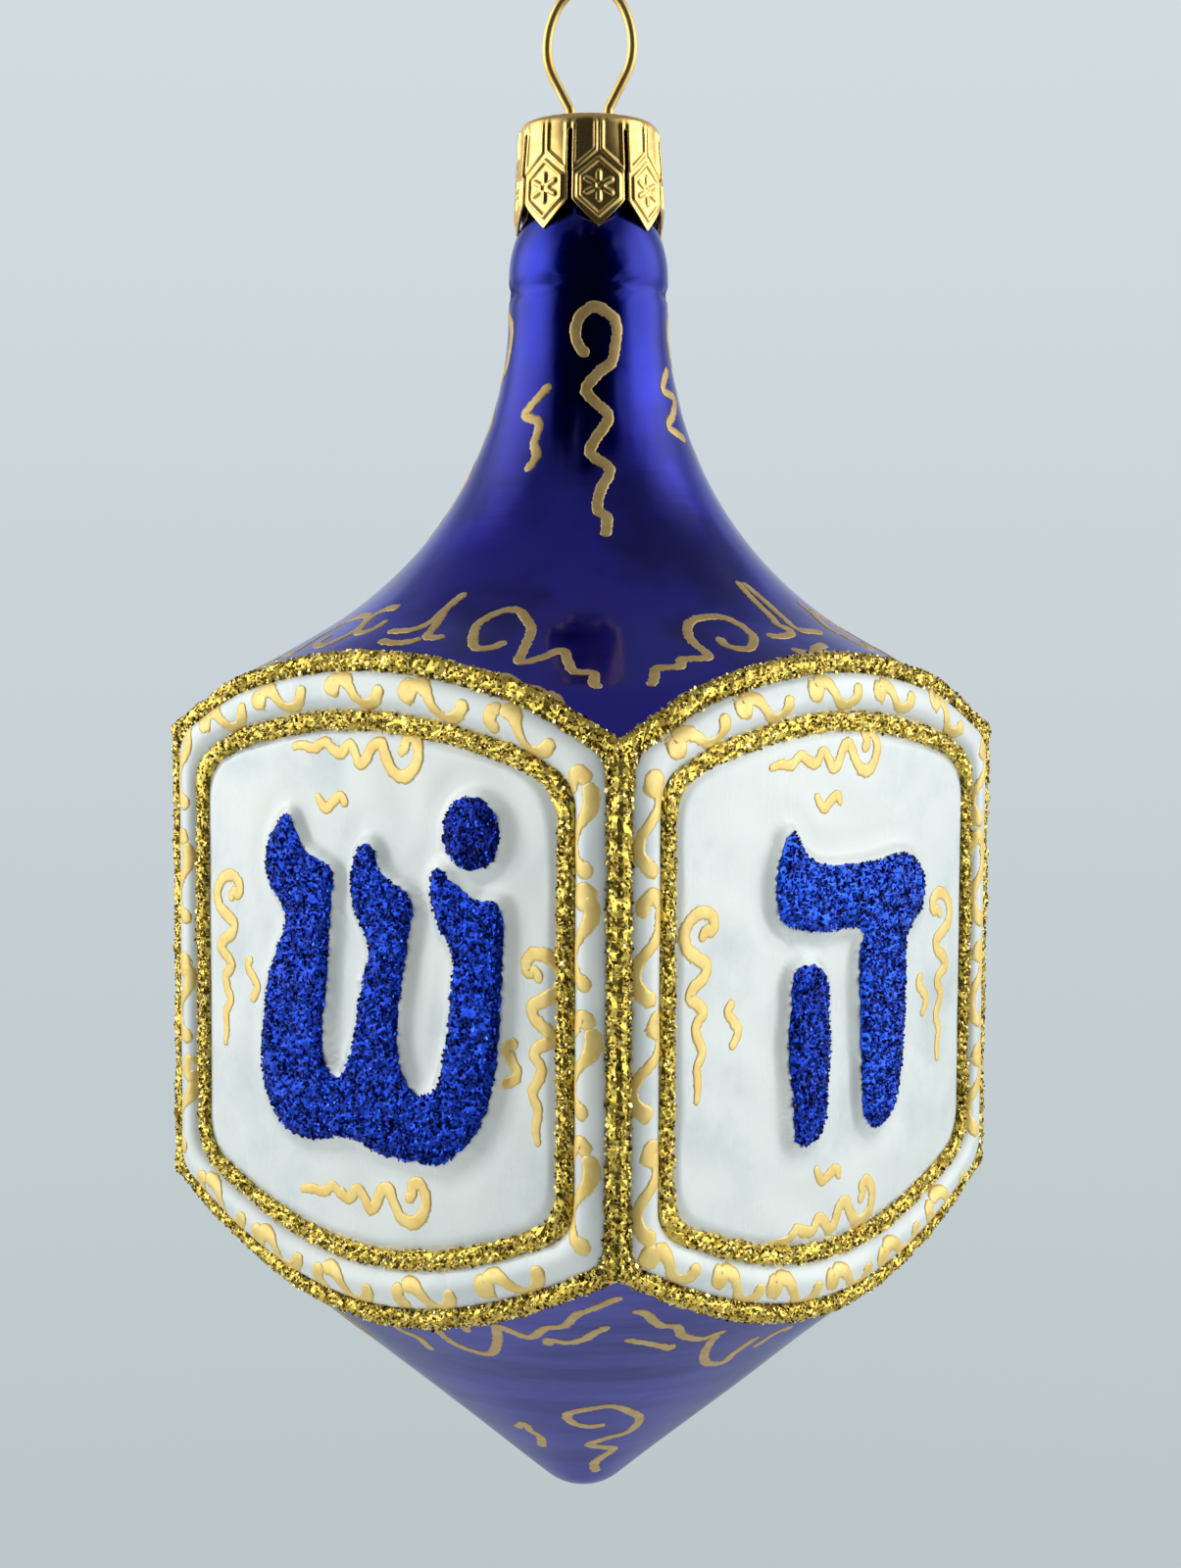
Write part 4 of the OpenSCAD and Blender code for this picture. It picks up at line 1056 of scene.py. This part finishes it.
# strokes on the blue glass: degrees from -Y towards +X and height above the tip
cornerStrokes = [
    [(41, 97.5), (35, 98.3), (32, 99.5), (35, 100.8), (45, 101.6), (56, 101), (61, 100.2), (60, 98.6),
     (57, 97.1), (50, 96.4), (42, 95.3), (40, 94.6), (45, 93.7), (52, 92.8), (52, 92.1), (46, 90.8),
     (42, 89.6), (45, 88.9), (50, 88.4), (51, 87.7), (47, 86.5), (45, 85.4), (45, 84.6), (48, 84),
     (47, 82.4)],
    [(26, 74.1), (24, 73.6), (21, 73.6), (19, 74.4), (18, 75.4), (21, 76.3), (25, 76.5), (28, 75.8),
     (30, 75), (30, 73.7), (30, 72.6), (33, 72.8), (36, 73.4), (37, 73.4), (38, 72.6), (39, 71.9),
     (42, 71.8), (42, 71.1), (43, 70.7)],
    [(67, 74.5), (67, 73.9), (69, 73.6), (72, 73.7), (75, 74.5), (75, 75.3), (72, 76), (67, 76),
     (63, 75.6), (61, 74.7), (61, 74), (62, 73), (57, 72.8), (56, 72.3), (52, 72.1), (51, 71.3),
     (50, 70.9)],
    [(27, 71.5), (29, 71.5), (32, 70.7), (34, 70.6), (37, 70), (37, 69.9), (38, 69.2)],
    [(63, 71), (59, 70.9), (58, 70.3), (55, 70.2), (54, 69.8), (52, 69.4)],
    [(21, 20.9), (21, 22.2), (19, 22.3), (16, 21.9), (15, 20.5), (16, 19.2), (19, 18.5), (22, 18.3),
     (24, 18.9), (26, 20.4), (27, 22), (29, 21.5), (32, 20.9), (35, 22.1), (38, 22.4), (40, 23.8),
     (42, 24.4), (46, 25.8)],
    [(35, 20), (35, 20.7), (38, 20.4), (41, 20.8), (43, 21.7), (45, 22.4)],
    [(48, 24.1), (50, 23.8), (53, 22.3), (56, 22), (58, 20.8), (62, 20.1), (65, 20.6), (66, 20.8)],
    [(65, 20.4), (65, 19.1), (66, 17.9), (69, 16.6), (74, 16.3), (74, 17.3), (75, 18.3), (76, 19.2)],
    [(48, 20.7), (51, 20.3), (55, 19.7), (57, 19.2), (57, 19.8)],
    [(49, 9.6), (43, 9.3), (37, 9.9), (36, 11), (42, 11.7), (49, 12.1), (55, 11.3), (61, 10.1),
     (61, 8.3), (51, 7.5), (44, 6.6), (58, 5.9), (54, 4.8), (50, 3.8), (55, 2.5)]]
middleStrokes = [
    [[(17, 95.2), (5, 93.4), (2, 92.7), (12, 92.1), (13, 91.3), (12, 90.2), (15, 89.2), (11, 87.9)],
     [(9, 77.9), (7, 76.7), (6, 75.5), (3, 74.9), (-3, 74.8)],
     [(7, 76.4), (8, 75.4), (9, 74.4), (13, 74.4)], [(8, 74.3), (6, 74), (2, 73.9), (-2, 74.1)],
     [(-9, 76.7), (-14, 76.6), (-16, 75.8), (-13, 74.7), (-9, 74.9), (-8, 75.7)],
     [(6, 21.3), (7, 21.5), (9, 21), (12, 20.5)], [(6, 21.2), (5, 19.7), (8, 19.1), (8, 17.6)],
     [(12, 8.3), (18, 9.1), (18, 8.2), (21, 7.4), (17, 5.9)]],
    [[(20, 97), (8, 95.1), (22, 94.5), (14, 93.1), (5, 91.9), (21, 91)],
     [(-2, 79), (-2, 77.5), (-2, 76.3), (-3, 75.4), (-1, 75.1), (-4, 74.6), (-10, 74.6)],
     [(0, 78.9), (2, 77.5), (2, 76.1), (2, 75.1), (10, 74.9)],
     [(21, 77.4), (20, 76.3), (17, 75.2), (21, 74.4)], [(-8, 73.5), (-4, 73.2), (-5, 72.6)],
     [(4, 73.9), (-1, 73.6), (-4, 73)], [(-4, 19.2), (-8, 19.1), (-10, 17.6)]]]
glassStroke = {"first": 0.95, "others": 0.82, "away": 60.0, "seed": 300}


def glassStarts(angles, heights):
    a = np.radians(angles)
    way = np.column_stack([np.sin(a), -np.cos(a), 0 * a])
    starts = way * glassStroke["away"]
    starts[:, 2] = heights
    return starts, -way


def addGlassPaint():
    draw = np.random.default_rng(glassStroke["seed"])
    parts = []
    for k in range(4):
        shift = swing(draw, vary["shift"]) if k else 0.0
        for i, table in enumerate(cornerStrokes + middleStrokes[k % 2]):
            spots, _, _ = castAll(glassTree, *glassStarts(*np.array(table, float).T))
            wide = glassStroke["others" if i else "first"]
            line = smoothLine(np.column_stack([spots, np.full(len(spots), wide)]), stroke["step"], places=3)
            angles = np.degrees(np.arctan2(line[:, 0], -line[:, 1]))
            parts += ribbon(glassTree, *glassStarts(angles + 90 * k + shift, line[:, 2]), line[:, 3], draw)
    verts, faces = joined(parts)
    addPiece("paint_glass", verts, faces, "glassPaint")


for k in range(4):
    addFacePaint(k)
addGlassPaint()
print("gold strokes painted")


# crown cap of thin pressed sheet; "bow": each tab is a little flatter than the round it stands on; "places":
# decimals to which neighbours agree where they meet
cap = {"top": mouthZ + 0.35, "radius": 5.9, "tabRadius": 6.328, "round": 0.8, "sheet": 0.25, "tabs": 8,
       "length": 9.4, "straight": 7.15, "point": 1.12, "slotStart": 1.3, "slotRound": (1.2, 1.6),
       "slot": 0.4, "narrow": 0.03, "bow": 0.10, "bowOver": (1.5, 5), "turn": 3.5, "hole": 0.55,
       "holeAt": 1.64, "holePoints": 24, "holeShare": 0.97, "holeGap": 1e-7, "loopTurn": 30.0,
       "columns": 39, "rows": (6, 5, 66), "places": 4}
# pressed pattern of a tab: lines from its middle outwards and downwards, and petals about a point
stamp = {"height": 0.18, "from": 0.7, "halfWidth": 2.0, "margin": 0.25, "ridge": (0.03, 0.238),
         "petal": (0.08, 0.28), "petalEnds": (0.36, 1.12), "petalMiddle": (0, 6.1),
         "lines": [((0.24, 0.9), (0.24, 3.1)), ((0.24, 3.1), (1.95, 4.7)), ((1.95, 1.0), (1.95, 4.7)),
                   ((0, 3.85), (1.55, 5.25)), ((1.55, 5.25), (1.55, 7.0)), ((1.55, 7.0), (0, 8.5))]}


def toSegment(x, y, a, b):
    ax, ay = a
    bx, by = b[0] - a[0], b[1] - a[1]
    t = np.clip(((x - ax) * bx + (y - ay) * by) / (bx * bx + by * by), 0, 1)
    return np.hypot(x - ax - t * bx, y - ay - t * by)


def embossHeight(x, down):
    # x: across from the middle of the tab
    x = np.abs(x)
    near = np.min([toSegment(x, down, *ends) for ends in stamp["lines"]], axis=0)
    high = 1 - smoothStep(near, *stamp["ridge"])
    for a in np.radians(np.arange(30, 390, 60)):
        way = np.array([math.cos(a), math.sin(a)])
        near = toSegment(x, down, *(way * far + stamp["petalMiddle"] for far in stamp["petalEnds"]))
        high = np.maximum(high, 1 - smoothStep(near, *stamp["petal"]))
    return stamp["height"] * high


def tabWidth(down, halfPitch):
    # half the width of a tab, which fills its half pitch while the sheet is whole
    wide = halfPitch
    if down > cap["slotStart"] + tiny:
        wide -= cap["slot"] / 2 * float(smoothStep(down, *cap["slotRound"]))
    if down > cap["straight"]:
        left = 1 - ((down - cap["straight"]) / (cap["length"] - cap["straight"])) ** cap["point"]
        wide *= max(left, cap["narrow"])
    return wide


def capRows():
    # way down from the top, radius and tilt of each row: over the rolled edge and down the tabs
    bend, band, tab = cap["rows"]
    lean = (cap["tabRadius"] - cap["radius"]) / (cap["length"] - cap["round"])
    rows = [(cap["round"] * (1 - math.cos(a)), cap["radius"] - cap["round"] + cap["round"] * math.sin(a), a)
            for a in np.linspace(0, math.pi / 2, bend)]
    downs = [*np.linspace(cap["round"], cap["slotStart"], band)[1:],
             *np.linspace(cap["slotStart"], cap["length"], tab)[1:]]
    return rows + [(down, cap["radius"] + (down - cap["round"]) * lean, math.pi / 2) for down in downs]


def tabSkins(rows):
    outer, inner = [], []
    cols = cap["columns"]
    for k in range(cap["tabs"]):
        for down, r, tilt in rows:
            halfPitch = math.pi / cap["tabs"] * r
            wide = tabWidth(down, halfPitch)
            x = np.linspace(-wide, wide, cols)
            across = x * stamp["halfWidth"] / max(halfPitch - stamp["margin"], 1)
            bump = embossHeight(across, np.full(cols, down)) * (down > stamp["from"])
            a = x / r + 2 * math.pi * k / cap["tabs"]
            bow = cap["bow"] * np.cos(np.pi * x / halfPitch) * smoothStep(down, *cap["bowOver"])
            for skin, more in ((outer, bump), (inner, bump - cap["sheet"])):
                reach = r - bow + more * math.sin(tilt)
                skin.append(np.column_stack([np.sin(a) * reach, -np.cos(a) * reach,
                                             np.full(cols, cap["top"] - down) + more * math.cos(tilt)]))
    return np.concatenate(outer), np.concatenate(inner)


def capDisc(ring):
    # flat top inside the ring, with its two wire holes
    spots = [Vector(p[:2]) for p in ring]
    loops = [list(range(len(spots)))]
    a = math.radians(cap["loopTurn"] - cap["turn"])
    holes = [Vector((at * math.cos(a), at * math.sin(a))) for at in (-cap["holeAt"], cap["holeAt"])]
    for hole in holes:
        loops.append(list(range(len(spots), len(spots) + cap["holePoints"])))
        spots += [hole + cap["hole"] * Vector((math.cos(t), math.sin(t)))
                  for t in np.linspace(0, 2 * math.pi, cap["holePoints"], endpoint=False)]
    result = geometry.delaunay_2d_cdt(spots, [], loops, 0, cap["holeGap"])
    faces = []
    for face in result[2]:
        middle = sum((result[0][i] for i in face), Vector((0, 0))) / len(face)
        if all((middle - hole).length > cap["hole"] * cap["holeShare"] for hole in holes):
            faces.append(list(face))
    return np.array([(*p, cap["top"]) for p in result[0]]), faces


def addCap():
    rows = capRows()
    cols = cap["columns"]
    tabPoints = len(rows) * cols
    outer, inner = tabSkins(rows)
    faces, topRing = [], []
    for start in range(0, cap["tabs"] * tabPoints, tabPoints):
        faces += gridFaces(len(rows), cols, wrap=False, start=start)
        topRing += range(start, start + cols - 1)
    disc, discFaces = capDisc(outer[topRing])
    faces += [[len(outer) + i for i in face] for face in discFaces]
    outer = np.concatenate([outer, disc])
    inner = np.concatenate([inner, disc - (0, 0, cap["sheet"])])
    # neighbours share their points where the sheet is whole
    first = {}
    same = [first.setdefault(tuple(p), i) for i, p in enumerate(np.round(outer, cap["places"]) + 0.0)]
    keep = list(first.values())
    number = dict(zip(keep, range(len(keep))))
    faces = [[number[same[i]] for i in face] for face in faces]
    faces = [face for face in faces if len(set(face)) == len(face)]
    verts, faces = sheetPiece(outer[keep], inner[keep], faces)
    addPiece("stampedCap", verts @ aboutZ(cap["turn"]), faces, "cap", ["crown_cap"])


addCap()
print("cap pressed")


# wire loop with its two legs; "tip": how thick it is at its ends, and how far back from them
wire = {"radius": 0.42, "leg": 1.64, "loop": 3.68, "rise": 1.1, "slant": 28.0, "bend": 1.0, "side": 5.2,
        "crown": 7.0, "crownTurn": 30.0, "legLength": 5.4, "splay": 13.6, "splayGap": 0.25, "steps": 9,
        "sides": 18, "tip": [(0.45, 0.0), (0.85, 0.1), (1.0, 0.25)]}


def wireArc(x, z, r, start, end, n, back=0):
    # places along an arc, and the directions in degrees that its section faces; back: 180 for an inward bend
    turn = np.linspace(start, end, n + 1)
    return [(x + r * math.cos(a), z + r * math.sin(a), d + back) for a, d in zip(np.radians(turn), turn)]


def wirePath():
    slant, crownTurn = math.radians(wire["slant"]), math.radians(wire["crownTurn"])
    bend, sideR, crownR, n = wire["bend"], wire["side"], wire["crown"], wire["steps"]
    bendX, bendZ = wire["leg"] + bend, cap["top"] + wire["rise"]
    slantX = wire["leg"] + bend * (1 - math.cos(slant))
    slantZ = bendZ + bend * math.sin(slant)
    sideX = wire["loop"] - sideR * (1 - math.cos(slant))
    wideZ = slantZ + (sideX - slantX) / math.tan(slant) + sideR * math.sin(slant)
    crownX = wire["loop"] - crownR * (1 - math.cos(crownTurn))
    topR = crownX / math.cos(crownTurn)
    loopZ = wideZ + crownR * math.sin(crownTurn) - topR * math.sin(crownTurn)
    legZ = cap["top"] - wire["legLength"]
    splayX = glass["mouth"] - glass["wall"] - wire["splayGap"] - wire["radius"]
    splay = math.degrees(math.atan((splayX - wire["leg"]) / wire["splay"]))
    path = [(splayX, legZ - wire["splay"], splay)]
    path += wireArc(bendX, legZ, bend, splay - 180, -180, n, 180)
    path += wireArc(bendX, bendZ, bend, 180, 180 - wire["slant"], n, 180)
    path += wireArc(wire["loop"] - sideR, wideZ, sideR, -wire["slant"], 0, n)
    path += wireArc(wire["loop"] - crownR, wideZ, crownR, 0, wire["crownTurn"], n)[1:-1]
    path += wireArc(0, loopZ, topR, wire["crownTurn"], 90, 2 * n)
    return path + [(-x, z, 180 - degrees) for x, z, degrees in path[-2::-1]]


def addWire():
    path = wirePath()
    around = np.linspace(0, 2 * math.pi, wire["sides"], endpoint=False)
    rings = {0: wire["tip"], len(path) - 1: wire["tip"][::-1]}
    rows = []
    for i, (x, z, degrees) in enumerate(path):
        a = math.radians(degrees)
        for share, back in rings.get(i, [(1.0, 0.0)]):
            r = wire["radius"] * share
            rows.append(np.column_stack([x + r * np.cos(around) * math.cos(a), r * np.sin(around),
                                         z + back + r * np.cos(around) * math.sin(a)]))
    faces = gridFaces(len(rows), wire["sides"]) + flatEnds(len(rows), wire["sides"])
    addPiece("springWire", np.concatenate(rows) @ aboutZ(cap["loopTurn"]), faces, "wire", ["hanger_wire"])


addWire()
print("wire bent")


# studio: pale floor far below, pale backdrop, two soft lamps; every fade is where a change starts and ends
studio = {"backdrop": (0.655, 0.715, 0.750), "backdropLow": (0.500, 0.570, 0.590),
          "backdropFade": (-0.38, 0.26), "fill": 0.86, "fillColour": (0.96, 0.99, 0.99), "below": 0.52,
          "belowFade": (-0.1, -0.8), "aboveFade": (0.30, 0.80), "lean": 0.1, "shapes": 2.6,
          "shapesFade": (0.3, 0.7), "drift": 0.16}
# how far the room in front of the object and above it is dimmed, for reflections and for the fill light
dimming = {"mirror": {"front": 0.02, "frontFade": (0.52, 0.72), "above": 0.36},
           "fill": {"front": 0.16, "frontFade": (0.60, 0.90), "above": 0.60}}
floorLook = {"height": -0.43, "radius": 0.60, "fade": (0.22, 0.58), "sides": 96,
             "colour": (0.72, 0.75, 0.78), "roughness": 0.9, "shine": 0.1}
lamps = {"turns": {"left": -92, "right": 88}, "up": 16, "away": 0.95, "size": 1.7, "power": 16.0,
         "middle": (0, 0, -0.075), "fade": (0.12, 0.5)}


def addFloor():
    turn = np.linspace(0, 2 * math.pi, floorLook["sides"], endpoint=False)
    ring = arcPoints(0, 0, floorLook["radius"], turn)
    verts = [(*spot, floorLook["height"]) for spot in ring.tolist()]
    mesh = bpy.data.meshes.new("floor")
    mesh.from_pydata(verts, [], [list(range(len(verts)))])
    material, tree, shader = newMaterial("floor")
    away = flatDistance(tree, objectPlace(tree), (0, 0, 0))
    feed(tree, shader, {"Base Color": (*floorLook["colour"], 1), "Roughness": floorLook["roughness"],
                        "Specular IOR Level": floorLook["shine"],
                        "Alpha": addRange(tree, away, *floorLook["fade"], 1.0, 0.0, "SMOOTHSTEP")})
    mesh.materials.append(material)
    floor = bpy.data.objects.new("floor", mesh)
    bpy.context.scene.collection.objects.link(floor)


def addBackground(tree, colour, strength):
    node = addNode(tree, "ShaderNodeBackground", {"Color": colour, "Strength": strength})
    return node.outputs["Background"]


def addWorld():
    world = bpy.data.worlds.new("studio")
    bpy.context.scene.world = world
    world.use_nodes = True
    tree = world.node_tree
    tree.nodes.clear()
    way = addNode(tree, "ShaderNodeTexCoord").outputs["Generated"]
    height = addNode(tree, "ShaderNodeSeparateXYZ", {"Vector": way}).outputs["Z"]
    seen = addRamp(tree, addRange(tree, height, *studio["backdropFade"]),
                   [(0.0, studio["backdropLow"]), (1.0, studio["backdrop"])])
    # reflections find a darker ceiling and a dark spot where the room behind the camera would be
    turn = math.radians(photoCamera["turn"])
    camera = (math.sin(turn), -math.cos(turn), studio["lean"])
    towards = addNode(tree, "ShaderNodeVectorMath", {0: way, 1: camera}, operation="DOT_PRODUCT")
    ragged = addNode(tree, "ShaderNodeTexNoise", {"Vector": way, "Scale": studio["shapes"], "Detail": 2.0})
    drift = addRange(tree, ragged.outputs["Fac"], *studio["shapesFade"], -studio["drift"], studio["drift"])
    towards, upward = (addMath(tree, value, drift, "ADD") for value in (towards.outputs["Value"], height))
    levels = {}
    for kind, dim in dimming.items():
        front = addRange(tree, towards, *dim["frontFade"], 1.0, dim["front"], "SMOOTHSTEP")
        above = addRange(tree, upward, *studio["aboveFade"], 1.0, dim["above"], "SMOOTHSTEP")
        levels[kind] = addMath(tree, front, above, "MULTIPLY")
    below = addRange(tree, height, *studio["belowFade"], 1.0, studio["below"], "SMOOTHSTEP")
    room = addBackground(tree, seen, 1.0)
    mirror = addBackground(tree, seen, addMath(tree, levels["mirror"], below, "MULTIPLY"))
    fill = addBackground(tree, (*studio["fillColour"], 1),
                         addMath(tree, levels["fill"], studio["fill"], "MULTIPLY"))
    rays = addNode(tree, "ShaderNodeLightPath").outputs
    clear = addMath(tree, rays["Is Camera Ray"], rays["Is Transmission Ray"], "MAXIMUM")
    light = addNode(tree, "ShaderNodeMixShader", {"Fac": rays["Is Glossy Ray"], 1: fill, 2: mirror})
    total = addNode(tree, "ShaderNodeMixShader", {"Fac": clear, 1: light.outputs["Shader"], 2: room})
    addNode(tree, "ShaderNodeOutputWorld", {"Surface": total.outputs["Shader"]})


def softenLamp(data):
    # brightest in the middle and fading to its edge, so that it leaves no hard outline on the glass
    data.use_nodes = True
    tree = data.node_tree
    tree.nodes.clear()
    spot = addNode(tree, "ShaderNodeNewGeometry").outputs["Parametric"]
    glow = addRange(tree, flatDistance(tree, spot, (0.5, 0.5, 0)), *lamps["fade"], 1.0, 0.0, "SMOOTHSTEP")
    shine = addNode(tree, "ShaderNodeEmission", {"Strength": glow}).outputs["Emission"]
    addNode(tree, "ShaderNodeOutputLight", {"Surface": shine})


def addLamps():
    middle, up = Vector(lamps["middle"]), math.radians(lamps["up"])
    for name, turn in lamps["turns"].items():
        # turned about the object from the side that faces the camera
        a = math.radians(photoCamera["turn"] - 90 + turn)
        way = Vector((math.cos(a) * math.cos(up), math.sin(a) * math.cos(up), math.sin(up)))
        place = middle + lamps["away"] * way
        data = bpy.data.lights.new(name, "AREA")
        data.size = lamps["size"]
        data.energy = lamps["power"]
        softenLamp(data)
        light = bpy.data.objects.new(name, data)
        aim = (place - middle).to_track_quat("Z", "Y").to_matrix().to_4x4()
        light.matrix_world = Matrix.Translation(place) @ aim
        bpy.context.scene.collection.objects.link(light)


addFloor()
addWorld()
addLamps()
bpy.context.scene.view_settings.view_transform = "Standard"
print("studio lit")
